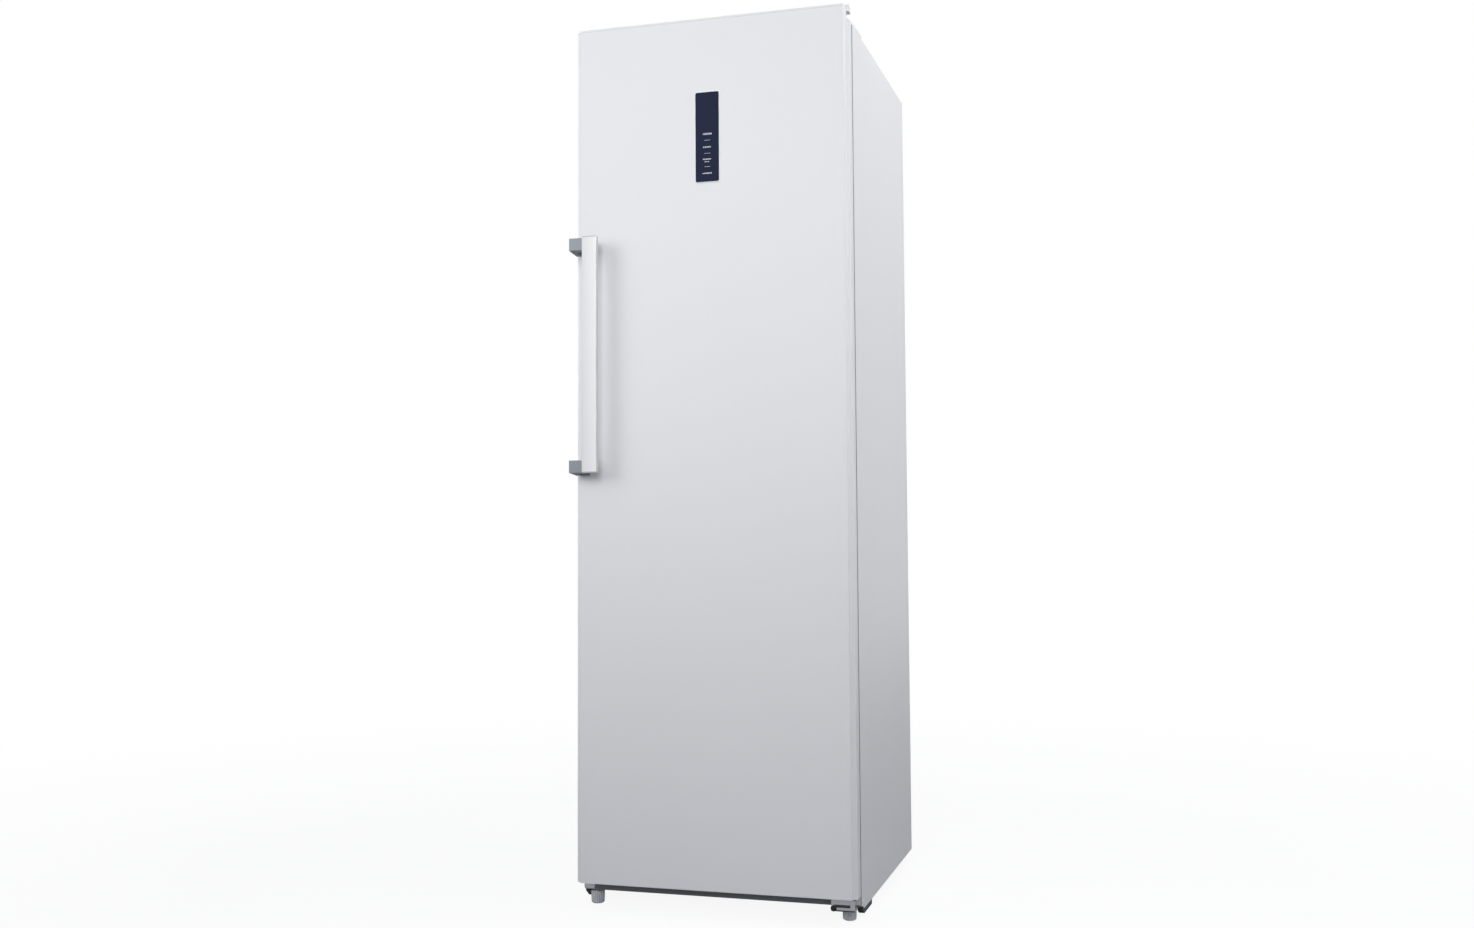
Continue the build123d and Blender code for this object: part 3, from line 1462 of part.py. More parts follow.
# ---- all nodes ----
def build_nodes():
    right = side_panel()
    nodes = {
        "right_side_panel": right, "left_side_panel": mirrored(right), "top_panel": top_panel(),
        "back_panel": back_panel(), "base_pan": base_pan(), "front_crossmember": front_crossmember(),
        "base_trim": base_trim(), "corner_blocks": corner_blocks(), "cabinet_foam": cabinet_foam(),
        "inner_liner": inner_liner(), "shelf_rails": shelf_rails(), "duct_cover": duct_cover(),
        "evaporator_coil": evaporator_coil(), "defrost_heater": defrost_heater(),
        "fan_motor": fan_motor(), "fan_rotor": fan_rotor(), "lamp": lamp(),
        "glass_shelves": glass_shelves(), "shelf_trims": shelf_trims(),
        "flap_brackets": flap_brackets(), "compressor_tray": compressor_tray(),
        "compressor": compressor(), "compressor_grommets": compressor_grommets(),
        "terminal_cover": terminal_cover(), "evaporation_tray": evaporation_tray(),
        "refrigerant_pipes": refrigerant_pipes(), "machine_cover": machine_cover(),
        "cord_grommet": cord_grommet(), "control_board": control_board(),
        "control_box_cover": control_box_cover(), "roller_brackets": roller_brackets(),
        "rear_roller_left": rear_roller(-1), "rear_roller_right": rear_roller(1),
        "front_foot_left": front_foot(-1), "front_foot_right": front_foot(1),
        "top_hinge_plate": top_hinge_plate(), "top_hinge_pin": top_hinge_pin(),
        "top_hinge_cover": top_hinge_cover(), "bottom_hinge_plate": bottom_hinge_plate(),
        "bottom_hinge_pin": bottom_hinge_pin(), "cabinet_fasteners": cabinet_fasteners(),
        "door_skin": door_skin(), "door_top_cap": door_top_cap(),
        "door_bottom_cap": door_bottom_cap(), "hinge_bushes": hinge_bushes(),
        "door_liner": door_liner(), "door_foam": door_foam(), "door_gasket": door_gasket(),
        "display_panel": display_panel(), "display_housing": display_housing(),
        "handle_bar": handle_bar(), "handle_brackets": handle_brackets(),
        "handle_screws": handle_screws(),
    }
    for index in range(drawer_count):
        nodes[f"drawer_{index + 1}"] = drawer(index)
    for index in range(flap_count):
        nodes[f"flap_{index + 1}"] = flap(index)
    return nodes


os.makedirs("parts", exist_ok=True)
for name, shape in build_nodes().items():
    export_step(shape, f"parts/{name}.step")
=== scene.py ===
import json
import math

import bmesh
import bpy
from mathutils import Matrix, Vector


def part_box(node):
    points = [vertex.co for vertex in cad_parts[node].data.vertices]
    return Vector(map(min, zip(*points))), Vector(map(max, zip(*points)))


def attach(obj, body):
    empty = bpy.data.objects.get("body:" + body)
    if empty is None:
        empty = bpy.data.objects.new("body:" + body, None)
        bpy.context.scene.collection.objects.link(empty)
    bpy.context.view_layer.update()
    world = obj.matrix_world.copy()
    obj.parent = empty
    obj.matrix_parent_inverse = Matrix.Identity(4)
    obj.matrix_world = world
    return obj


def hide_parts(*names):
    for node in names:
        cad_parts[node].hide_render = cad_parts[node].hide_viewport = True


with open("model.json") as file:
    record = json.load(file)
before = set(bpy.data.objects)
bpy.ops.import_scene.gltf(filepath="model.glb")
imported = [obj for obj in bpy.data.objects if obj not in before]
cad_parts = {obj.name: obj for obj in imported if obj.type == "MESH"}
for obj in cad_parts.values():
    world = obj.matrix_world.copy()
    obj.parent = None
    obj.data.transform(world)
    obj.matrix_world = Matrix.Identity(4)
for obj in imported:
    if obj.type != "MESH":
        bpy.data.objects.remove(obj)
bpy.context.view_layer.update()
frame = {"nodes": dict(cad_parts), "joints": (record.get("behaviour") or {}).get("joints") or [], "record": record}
nodes = frame["nodes"]

# ---- the picture frame and the camera, in metres and degrees ----
IMAGE_WIDTH = 1474
IMAGE_HEIGHT = 928
FOCAL_PIXELS = 1474.0
PRINCIPAL_ROW = 441.3
CAMERA_PLACE = Vector((0.9009, -3.1939, 0.7830))
CAMERA_YAW = 16.242
CAMERA_PITCH = 3.430
CAMERA_ROLL = -0.350
SENSOR = 36.0

# ---- light ----
AMBIENT = 0.38
AMBIENT_COLOUR = (0.93, 0.95, 1.0)
SOFTBOXES = (                # name, place, aimed at, width and height, spread in degrees, watts
    ("by_camera", (0.9, -4.4, 2.6), (0.0, -0.3, 1.5), (2.0, 2.0), 50, 7.9),
    ("near_left", (-1.5, -1.7, 2.8), (-0.1, -0.3, 1.7), (1.2, 1.2), 120, 1.3),
    ("left", (-2.2, -2.4, 2.0), (-0.1, -0.3, 1.5), (1.8, 1.8), 70, 5.2),
    ("near_right", (1.7, 0.0, 3.1), (0.3, 0.0, 1.3), (1.4, 0.9), 180, 20.5),
    ("far_right", (4.2, -0.6, 2.4), (0.3, 0.0, 1.65), (1.8, 1.8), 45, 2.1),
)
FLOOR_PAPER = (0.48, 0.49, 0.51)
FLOOR_HALF = 30.0
FLOOR_GLOW = 0.80            # how much of the floor near the object is plain white
FLOOR_GLOW_STRENGTH = 1.14
FLOOR_FADE = (1.2, 3.5)      # between these distances the floor goes over to all white
FLOOR_MIRROR_REACH = 9.0     # from here on, reflections see the floor as white

# ---- lines in the paint, among them painted highlight and painted shade; a tone is a share of the paint's own colour ----
skin_low, skin_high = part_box("door_skin")
DOOR_BACK = skin_high.y
TOP_SEAM = skin_high.z
BOTTOM_SEAM = skin_low.z
SEAM_HALF = 0.0006
TOP_SEAM_TONE = 0.72
# lighter line across the door's foot: a painted highlight on the bottom cap's rounded lip
BOTTOM_LIP_HIGHLIGHT_TONE = 1.12
CABINET_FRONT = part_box("right_side_panel")[0].y
CABINET_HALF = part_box("right_side_panel")[1].x
GAP_SHADE_BAND = 0.0022            # width of the painted shade on the edge of the cabinet's front, seen in the gap behind the door
# tone of that painted shade
GAP_SHADE_TONE = 0.35
HANDLE_END = 0.0026          # line at each end of the handle
HANDLE_END_TONE = 0.45
HANDLE_SIDE = 0.0004         # width of the painted shade along its right side
HANDLE_SIDE_SHADE_TONE = 0.68
HANDLE_LEFT_SHADE_TONE = 0.80      # painted shade on its front, which is darker to the left and full at the right
STREAK_SHARE = 0.08          # share of that change that follows the streaks

MICRON = 0.000001


# ---- small node helpers ----
class Tree:
    """Builds one material's nodes with short calls."""

    def __init__(self, name):
        self.material = bpy.data.materials.new(name)
        self.material.use_nodes = True
        self.nodes = self.material.node_tree.nodes
        self.links = self.material.node_tree.links
        self.shader = self.nodes["Principled BSDF"]
        self.place = self.add("ShaderNodeTexCoord").outputs["Object"]

    def add(self, kind, **values):
        node = self.nodes.new(kind)
        for key, value in values.items():
            setattr(node, key, value)
        return node

    def join(self, source, target):
        self.links.new(source, target)

    def put(self, node, **values):
        """Sets a node's inputs, where an underscore stands for a space."""
        for key, value in values.items():
            node.inputs[key.replace("_", " ")].default_value = value

    def scaled(self, scale, turn=(0, 0, 0)):
        """Object coordinates, scaled per metre by one number or by three."""
        mapping = self.add("ShaderNodeMapping")
        self.put(mapping, Scale=scale if isinstance(scale, tuple) else (scale,) * 3, Rotation=turn)
        self.join(self.place, mapping.inputs["Vector"])
        return mapping.outputs["Vector"]

    def axes(self):
        """The object coordinates as three sockets."""
        split = self.add("ShaderNodeSeparateXYZ")
        self.join(self.place, split.inputs[0])
        return split.outputs

    def noise(self, scale, detail=2.0, roughness=0.5):
        texture = self.add("ShaderNodeTexNoise")
        self.join(self.scaled(scale), texture.inputs["Vector"])
        self.put(texture, Scale=1.0, Detail=detail, Roughness=roughness)
        return texture.outputs["Fac"]

    def cells(self, scale):
        """Three random values for each cell of a Voronoi pattern."""
        texture = self.add("ShaderNodeTexVoronoi")
        self.join(self.scaled(scale), texture.inputs["Vector"])
        self.put(texture, Scale=1.0)
        split = self.add("ShaderNodeSeparateColor")
        self.join(texture.outputs["Color"], split.inputs["Color"])
        return split.outputs

    def number_range(self, source, low, high, start=0.0, end=1.0):
        """The source's values from start to end, spread from low to high."""
        node = self.add("ShaderNodeMapRange")
        self.put(node, From_Min=start, From_Max=end, To_Min=low, To_Max=high)
        self.join(source, node.inputs["Value"])
        return node.outputs["Result"]

    def maths(self, operation, *values):
        """One step of arithmetic on sockets and plain numbers."""
        node = self.add("ShaderNodeMath", operation=operation)
        for target, value in zip(node.inputs, values):
            if isinstance(value, bpy.types.NodeSocket):
                self.join(value, target)
            else:
                target.default_value = value
        return node.outputs[0]

    def near(self, source, level, reach):
        """One where the source is within that reach of the level, else zero."""
        apart = self.maths("ABSOLUTE", self.maths("SUBTRACT", source, level))
        return self.maths("LESS_THAN", apart, reach)

    def mix(self, factor, one, other):
        """A colour between one and other, each of them a colour or a socket."""
        node = self.add("ShaderNodeMix", data_type="RGBA")
        self.join(factor, node.inputs["Factor"])
        for socket, value in (("A", one), ("B", other)):
            target = [i for i in node.inputs if i.name == socket and i.type == "RGBA"][0]
            if isinstance(value, bpy.types.NodeSocket):
                self.join(value, target)
            else:
                target.default_value = (*value, 1.0)
        return [o for o in node.outputs if o.type == "RGBA"][0]

    def bump(self, source, height, strength=1.0):
        """Adds relief of that height in metres to the shader's normal."""
        node = self.add("ShaderNodeBump")
        self.put(node, Strength=strength, Distance=height)
        self.join(source, node.inputs["Height"])
        self.join(node.outputs["Normal"], self.shader.inputs["Normal"])

    def set(self, **values):
        self.put(self.shader, **values)

    def colour(self, source):
        self.join(source, self.shader.inputs["Base Color"])

    def roughness(self, source):
        self.join(source, self.shader.inputs["Roughness"])


def shade(colour, factor):
    return tuple(c * factor for c in colour)


def seam(tree, colour, level, tone):
    """Draws a fine line across the door at one height, where a door cap meets the skin; a tone lighter than the
    paint makes it a painted highlight on the cap's rounded lip.
    """
    axes = tree.axes()
    on_line = tree.near(axes["Z"], level, SEAM_HALF)
    on_door = tree.maths("LESS_THAN", axes["Y"], DOOR_BACK)
    return tree.mix(tree.maths("MULTIPLY", on_line, on_door), colour, tone)


def painted_gap_shade(tree, colour, tone):
    """Paints shade on the outer edge of the cabinet's front flanges: a grey band that stands for the dark gap
    behind the door.
    """
    axes = tree.axes()
    on_front = tree.near(axes["Y"], CABINET_FRONT, SEAM_HALF)
    out = tree.maths("ABSOLUTE", axes["X"])
    on_edge = tree.maths("GREATER_THAN", out, CABINET_HALF - GAP_SHADE_BAND)
    return tree.mix(tree.maths("MULTIPLY", on_front, on_edge), colour, tone)


# ---- materials ----
def painted_steel(name, colour, rough=0.40, lines=False):
    """Baked enamel on sheet steel: faint orange peel, hardly visible mottling and the drawn lines, among them a
    painted highlight along the door's bottom lip and painted shade on the cabinet's front edge.
    """
    t = Tree(name)
    mottling = t.noise((3.0, 3.0, 2.2), detail=3.0)
    paint = t.mix(mottling, shade(colour, 0.985), shade(colour, 1.01))
    if lines:
        paint = seam(t, paint, TOP_SEAM, shade(colour, TOP_SEAM_TONE))
        # the lighter bottom line is a painted highlight on the bottom cap's rounded lip
        paint = seam(t, paint, BOTTOM_SEAM, shade(colour, BOTTOM_LIP_HIGHLIGHT_TONE))
        # painted shade: a grey band on the cabinet's front edge, in the gap behind the door
        paint = painted_gap_shade(t, paint, shade(colour, GAP_SHADE_TONE))
    t.colour(paint)
    t.roughness(t.number_range(t.noise(40), rough - 0.03, rough + 0.04))
    t.bump(t.noise(650, detail=1.0), 20 * MICRON, 0.5)
    t.set(Coat_Weight=0.06, Coat_Roughness=0.15, Specular_IOR_Level=0.38)
    return t.material


def moulded_plastic(name, colour, rough=0.4, grain=1400.0, relief=30):
    """Injection-moulded plastic with a fine eroded grain, its relief in microns."""
    t = Tree(name)
    flow = t.noise(9, detail=2.0)
    t.colour(t.mix(flow, shade(colour, 0.95), shade(colour, 1.03)))
    t.roughness(t.number_range(t.noise(70), rough - 0.05, rough + 0.06))
    t.bump(t.noise(grain, detail=2.0), relief * MICRON, 0.6)
    return t.material


def brushed_metal(name, colour, rough, brush, metallic=1.0):
    """Metal with fine streaks: brush gives their frequency, or three of them for the axes."""
    t = Tree(name)
    streaks = t.noise(brush, detail=4.0, roughness=0.6)
    t.colour(t.mix(streaks, shade(colour, 0.92), shade(colour, 1.05)))
    t.roughness(t.number_range(streaks, rough - 0.06, rough + 0.08))
    t.bump(streaks, 10 * MICRON, 0.35)
    t.set(Metallic=metallic)
    return t.material


def handle_paint_and_painted_shade(colour):
    """The painted bar: streaks along it, painted shade that darkens its front to the left and its right side, and
    grey ends.
    """
    low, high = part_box("handle_bar")
    t = Tree("handle_paint_and_painted_shade")
    axes = t.axes()
    streaks = t.noise((1200, 1200, 6), detail=4.0, roughness=0.6)
    # painted shade: the front darkens from right to left
    across = t.number_range(axes["X"], 0.0, 1.0 - STREAK_SHARE, low.x, high.x)
    across = t.maths("ADD", across, t.number_range(streaks, 0.0, STREAK_SHARE))
    paint = t.mix(across, shade(colour, HANDLE_LEFT_SHADE_TONE), colour)
    # painted shade along the bar's right side
    side_shade_mask = t.maths("GREATER_THAN", axes["X"], high.x - HANDLE_SIDE)
    paint = t.mix(side_shade_mask, paint, shade(colour, HANDLE_SIDE_SHADE_TONE))
    off_ends = t.near(axes["Z"], (low.z + high.z) / 2, (high.z - low.z) / 2 - HANDLE_END)
    t.colour(t.mix(off_ends, shade(colour, HANDLE_END_TONE), paint))
    t.roughness(t.number_range(streaks, 0.36, 0.46))
    t.bump(streaks, 10 * MICRON, 0.3)
    t.set(Specular_IOR_Level=0.55)
    return t.material


def zinc_sheet():
    """Galvanised steel with spangles and dull patches."""
    t = Tree("zinc_spangle")
    spangle = t.cells(110)
    patches = t.noise(6, detail=4.0)
    light = t.mix(spangle["Red"], (0.54, 0.56, 0.58), (0.65, 0.67, 0.69))
    t.colour(t.mix(t.number_range(patches, 0.0, 0.5, 0.35, 0.75), light, (0.45, 0.46, 0.47)))
    t.roughness(t.number_range(spangle["Green"], 0.32, 0.5))
    t.bump(spangle["Blue"], 20 * MICRON, 0.25)
    t.set(Metallic=0.9)
    return t.material


def copper_tube():
    """Drawn copper with browned and bright patches."""
    t = Tree("copper_tube")
    patches = t.noise(35, detail=5.0, roughness=0.6)
    t.colour(t.mix(t.number_range(patches, 0.0, 1.0, 0.35, 0.7), (0.78, 0.42, 0.27), (0.42, 0.22, 0.14)))
    t.roughness(t.number_range(patches, 0.22, 0.5))
    t.bump(patches, 20 * MICRON, 0.3)
    t.set(Metallic=1.0)
    return t.material


def rubber(name, colour, rough=0.65):
    """Soft vinyl or rubber with a dusty bloom."""
    t = Tree(name)
    bloom = t.noise(26, detail=5.0, roughness=0.65)
    t.colour(t.mix(bloom, shade(colour, 0.85), shade(colour, 1.15)))
    t.roughness(t.number_range(bloom, rough - 0.08, rough + 0.1))
    t.bump(t.noise(1800), 30 * MICRON, 0.5)
    return t.material


def clear_plastic():
    """Slightly frosted, faintly blue polystyrene of the drawers and flaps."""
    t = Tree("frosted_clear")
    haze = t.noise(12, detail=3.0)
    t.colour(t.mix(haze, (0.80, 0.90, 0.96), (0.88, 0.95, 0.99)))
    t.roughness(t.number_range(haze, 0.14, 0.26))
    t.bump(t.noise(900), 20 * MICRON, 0.4)
    t.set(Transmission_Weight=0.75, IOR=1.25, Alpha=0.72)
    return t.material


def shelf_glass():
    """Clear glass, a little green, with faint waviness."""
    t = Tree("float_glass")
    wave = t.noise(14, detail=1.0)
    t.colour(t.mix(wave, (0.84, 0.95, 0.92), (0.88, 0.97, 0.95)))
    t.bump(wave, 20 * MICRON, 0.2)
    t.set(Roughness=0.03, Transmission_Weight=0.9, IOR=1.3, Alpha=0.6)
    return t.material


def foam():
    """Cut polyurethane foam."""
    t = Tree("insulation_foam")
    pores = t.cells(900)
    t.colour(t.mix(pores["Red"], (0.80, 0.70, 0.42), (0.92, 0.84, 0.58)))
    t.bump(pores["Green"], 200 * MICRON, 0.6)
    t.set(Roughness=0.9)
    return t.material


def circuit_board():
    """Green solder mask with thin paler tracks."""
    t = Tree("solder_mask")
    tracks = t.add("ShaderNodeTexBrick")
    t.put(tracks, Color1=(0.02, 0.16, 0.06, 1), Color2=(0.02, 0.20, 0.08, 1),
          Mortar=(0.10, 0.38, 0.18, 1), Scale=1.0, Mortar_Size=0.06)
    t.join(t.scaled((160, 160, 220), (math.radians(90), 0, 0)), tracks.inputs["Vector"])
    t.colour(tracks.outputs["Color"])
    t.bump(tracks.outputs["Fac"], 30 * MICRON, 0.3)
    t.set(Roughness=0.35, Coat_Weight=0.3)
    return t.material


def display_glass():
    """Dark blue glass over a black backing, with a hardly visible speckle."""
    t = Tree("display_glass")
    speckle = t.noise(500, detail=2.0)
    t.colour(t.mix(speckle, (0.018, 0.023, 0.050), (0.025, 0.031, 0.064)))
    t.roughness(t.number_range(speckle, 0.20, 0.28))
    t.set(IOR=1.3, Specular_IOR_Level=0.12)
    return t.material


def lamp_lens():
    """Milky lens of the strip lamp."""
    t = Tree("milky_lens")
    haze = t.noise(60)
    t.colour(t.mix(haze, (0.90, 0.93, 0.97), (0.97, 0.98, 1.0)))
    t.bump(haze, 40 * MICRON, 0.4)
    t.set(Roughness=0.3, Transmission_Weight=0.35, IOR=1.4)
    return t.material


WHITE = (0.86, 0.865, 0.885)
materials = {                # by the record's slot names
    "white_paint": painted_steel("white_enamel", WHITE, lines=True),
    "white_plastic": moulded_plastic("white_moulding", (0.85, 0.855, 0.87), 0.42),
    "liner_white": moulded_plastic("liner_polystyrene", (0.84, 0.86, 0.88), 0.3, 700.0, 20),
    "zinc_sheet": zinc_sheet(),
    "grey_paint": painted_steel("grey_enamel", (0.50, 0.51, 0.53), 0.45),
    "black_plastic": moulded_plastic("black_moulding", (0.022, 0.023, 0.027), 0.42, 900.0),
    "grey_plastic": moulded_plastic("grey_moulding", (0.36, 0.37, 0.42), 0.38, 900.0),
    "insulation": foam(),
    "coil_aluminium": brushed_metal("coil_aluminium", (0.75, 0.76, 0.78), 0.38, (300, 300, 900)),
    "heater_steel": brushed_metal("heater_steel", (0.45, 0.43, 0.42), 0.45, (40, 900, 900)),
    "lamp_lens": lamp_lens(),
    "shelf_glass": shelf_glass(),
    "trim_plastic": moulded_plastic("trim_plastic", (0.72, 0.75, 0.78), 0.3),
    "compressor_paint": painted_steel("black_stove_paint", (0.018, 0.018, 0.020), 0.3),
    "rubber_black": rubber("black_rubber", (0.03, 0.03, 0.031)),
    "gasket_rubber": rubber("gasket_vinyl", (0.30, 0.31, 0.33), 0.55),
    "copper": copper_tube(),
    "board_green": circuit_board(),
    "steel": brushed_metal("zinc_plated_steel", (0.62, 0.63, 0.66), 0.34, (500, 60, 500)),
    "dark_steel": brushed_metal("blackened_steel", (0.03, 0.03, 0.033), 0.4, 400, 0.6),
    "display_black": display_glass(),
    "handle_silver": handle_paint_and_painted_shade((0.96, 0.96, 0.965)),
    "bracket_grey": brushed_metal("cast_bracket", (0.232, 0.250, 0.280), 0.42, 700, 0.4),
    "clear_plastic": clear_plastic(),
}
trim_grey = moulded_plastic("dark_grey_trim", (0.17, 0.172, 0.19), 0.5, 900.0)
foot_grey = moulded_plastic("light_grey_foot", (0.66, 0.66, 0.70), 0.42, 900.0)


def soften_edges(name, limit):
    """A node group that welds a mesh and smooths it, except across edges of more degrees than that."""
    group = bpy.data.node_groups.new(name, "GeometryNodeTree")
    group.interface.new_socket("Geometry", in_out="INPUT", socket_type="NodeSocketGeometry")
    group.interface.new_socket("Geometry", in_out="OUTPUT", socket_type="NodeSocketGeometry")
    add = group.nodes.new
    start = add("NodeGroupInput")
    end = add("NodeGroupOutput")
    weld = add("GeometryNodeMergeByDistance")
    weld.inputs["Distance"].default_value = 5 * MICRON
    faces = add("GeometryNodeSetShadeSmooth")
    faces.domain = "FACE"
    edges = add("GeometryNodeSetShadeSmooth")
    edges.domain = "EDGE"
    edges.inputs["Shade Smooth"].default_value = False
    angle = add("GeometryNodeInputMeshEdgeAngle")
    sharp = add("FunctionNodeCompare")
    sharp.operation = "GREATER_THAN"
    sharp.inputs["B"].default_value = math.radians(limit)
    group.links.new(angle.outputs["Unsigned Angle"], sharp.inputs["A"])
    group.links.new(sharp.outputs["Result"], edges.inputs["Selection"])
    chain = (start, weld, faces, edges, end)
    for node, after in zip(chain, chain[1:]):
        group.links.new(node.outputs[0], after.inputs[0])
    return group


SMOOTHING = soften_edges("weld_and_smooth", 28)
ROUNDING = soften_edges("weld_and_round", 50)
ROUNDED_NODES = ("door_skin", "door_top_cap", "door_bottom_cap")


def smooth(piece, group=SMOOTHING):
    modifier = piece.modifiers.new("smoothing", "NODES")
    modifier.node_group = group


def round_off(piece):
    """Shades the narrow facets of a rounded edge as one curve and keeps the wide faces flat."""
    smooth(piece, ROUNDING)
    weights = piece.modifiers.new("face_weights", "WEIGHTED_NORMAL")
    weights.weight = 100
    weights.keep_sharp = True


def dress_cad_nodes():
    """Each CAD node gets its slot's material and clean shading."""
    for part in frame["record"]["subparts"]:
        piece = nodes[part["node"]]
        piece.data.materials.clear()
        piece.data.materials.append(materials[part["material_slot"]])
        if part["node"] in ROUNDED_NODES:
            round_off(piece)
        else:
            smooth(piece)
    nodes["base_trim"].data.materials[0] = trim_grey


# ---- object and mesh helpers ----
def new_object(name, data):
    made = bpy.data.objects.new(name, data)
    bpy.context.scene.collection.objects.link(made)
    return made


def add_piece(name, bm, body, slot, *replaced, material=None):
    """Makes an object from the mesh, in that slot's material, riding on that body."""
    bmesh.ops.recalc_face_normals(bm, faces=bm.faces)
    mesh = bpy.data.meshes.new(name)
    bm.to_mesh(mesh)
    bm.free()
    mesh.materials.append(material or materials[slot])
    piece = new_object(name, mesh)
    smooth(piece)
    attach(piece, body)
    if replaced:
        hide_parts(*replaced)


def joined_rings(bm, rings, closed=False):
    """Skins rings of vertices, and caps the ends unless closed joins the last to the first."""
    pairs = list(zip(rings, rings[1:]))
    if closed:
        pairs.append((rings[-1], rings[0]))
    for low, high in pairs:
        for k in range(len(low)):
            after = (k + 1) % len(low)
            bm.faces.new((low[k], low[after], high[after], high[k]))
    if not closed:
        bm.faces.new(rings[0][::-1])
        bm.faces.new(rings[-1])


def turned(bm, centre, axis, profile, steps=48, wave=None, closed=False):
    """A turned body from (radius, place along the axis) pairs, where wave may change the radius."""
    rings = []
    for radius, place in profile:
        ring = []
        for k in range(steps):
            angle = 2 * math.pi * k / steps
            r = radius + (wave(angle, place) if wave else 0.0)
            one, other = r * math.cos(angle), r * math.sin(angle)
            offset = {"X": (place, one, other), "Y": (one, place, other), "Z": (one, other, place)}[axis]
            ring.append(bm.verts.new(Vector(centre) + Vector(offset)))
        rings.append(ring)
    joined_rings(bm, rings, closed)


def soft_block(bm, low, high, radius=0.0):
    """A block between two corners, with rounded edges where a radius is given."""
    low, high = Vector(low), Vector(high)
    made = bmesh.ops.create_cube(bm, size=1.0)
    for v in made["verts"]:
        v.co = Vector(c * s for c, s in zip(v.co, high - low)) + (low + high) / 2
    if radius:
        edges = list(dict.fromkeys(e for v in made["verts"] for e in v.link_edges))
        bmesh.ops.bevel(bm, geom=edges, offset=radius, segments=2, profile=0.5, affect="EDGES")


def bar_frame(bm, x0, x1, y0, y1, z0, z1, band, radius=0.0):
    """An upright frame of four bars, seen from the front."""
    soft_block(bm, (x0, y0, z0), (x0 + band, y1, z1), radius)
    soft_block(bm, (x1 - band, y0, z0), (x1, y1, z1), radius)
    soft_block(bm, (x0, y0, z0), (x1, y1, z0 + band), radius)
    soft_block(bm, (x0, y0, z1 - band), (x1, y1, z1), radius)


SKEW = Vector((0.31, 0.17, 0.93))    # a direction that no wire starts in


def swept(bm, path, radius, steps=10):
    """A round wire along points, with flat ends and without a twist."""
    rings = []
    side = (path[1] - path[0]).cross(SKEW)
    for i, point in enumerate(path):
        ahead = (path[min(i + 1, len(path) - 1)] - path[max(i - 1, 0)]).normalized()
        side = (side - ahead * side.dot(ahead)).normalized()
        up = side.cross(ahead)
        turns = [2 * math.pi * k / steps for k in range(steps)]
        rings.append([bm.verts.new(point + radius * (math.cos(a) * side + math.sin(a) * up))
                      for a in turns])
    joined_rings(bm, rings)


def thicken(bm, grid, thickness, inward=False):
    """Skins a grid of vertices and gives it a thickness, on the other side where inward."""
    faces = []
    for one, other in zip(grid, grid[1:]):
        for j in range(len(one) - 1):
            corners = (one[j], one[j + 1], other[j + 1], other[j])
            if inward:
                corners = (one[j], other[j], other[j + 1], one[j + 1])
            faces.append(bm.faces.new(corners))
    bmesh.ops.solidify(bm, geom=faces, thickness=thickness)


def rounded_path(corners, bend, steps=5):
    """Straight runs with a rounded bend at each corner."""
    corners = [Vector(c) for c in corners]
    path = [corners[0]]
    for before, corner, after in zip(corners, corners[1:], corners[2:]):
        start = corner + (before - corner).normalized() * bend
        end = corner + (after - corner).normalized() * bend
        for k in range(steps + 1):
            t = k / steps
            path.append(start * (1 - t) ** 2 + corner * 2 * t * (1 - t) + end * t ** 2)
    path.append(corners[-1])
    return path


def middle_of(name):
    low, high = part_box(name)
    return (low + high) / 2


# ---- the door ----
PANE_SIDE = 0.0021           # how far the pane passes the seat of the glass, sideways and upright
PANE_END = 0.0028
PANE_SHIFT = -0.0005
PANE_FRONT = 0.0010          # the pane's face ahead of the glass seat's
PANE_RADIUS = 0.0034         # of its corners
PANE_EASE = 0.0003           # bevel of its front edge
BEZEL = 0.0024
MARK_RISE = 0.00014          # of the marks over the pane
MARK_ROOT = 0.0002           # and how deep they sit in it
DISPLAY_ROWS = (             # kind, drop below the pane's top, width, height
    ("number", 0.0887, 0.0215, 0.0036),
    ("bars", 0.1020, 0.0130, 0.0005),
    ("bars", 0.1165, 0.0175, 0.0028),
    ("bars", 0.1298, 0.0130, 0.0005),
    ("bars", 0.1420, 0.0186, 0.0024),
    ("bars", 0.1474, 0.0110, 0.0018),
    ("bars", 0.1578, 0.0130, 0.0005),
    ("dots", 0.1718, 0.0215, 0.0030),
)
THIN_LINE = 0.001            # a row below this height is one plain line
BAR_PITCH = 0.0032           # about, and rounded to a whole number of bars
BAR_SHARE = 0.58             # of the pitch
DIGIT_WIDTH = 0.6            # shares of the row's height
DIGIT_PITCH = 0.8
DOT_RADIUS = 0.4
DOT_PITCH = 1.1
DOTS = 3
STROKES = {                  # x and z of each stroke of a digit, as shares of its width and height
    "top": (0.0, 1.0, 0.84, 1.0), "middle": (0.0, 1.0, 0.42, 0.58), "bottom": (0.0, 1.0, 0.0, 0.16),
    "upper_left": (0.0, 0.28, 0.5, 1.0), "upper_right": (0.72, 1.0, 0.5, 1.0),
    "lower_left": (0.0, 0.28, 0.0, 0.5), "lower_right": (0.72, 1.0, 0.0, 0.5),
}
ONE = ("upper_right", "lower_right")
EIGHT = tuple(STROKES)


def digit(bm, strokes, x, z, wide, tall, y0, y1):
    """A plain number made of straight strokes."""
    for stroke in strokes:
        x0, x1, z0, z1 = STROKES[stroke]
        soft_block(bm, (x + x0 * wide, y0, z + z0 * tall), (x + x1 * wide, y1, z + z1 * tall))


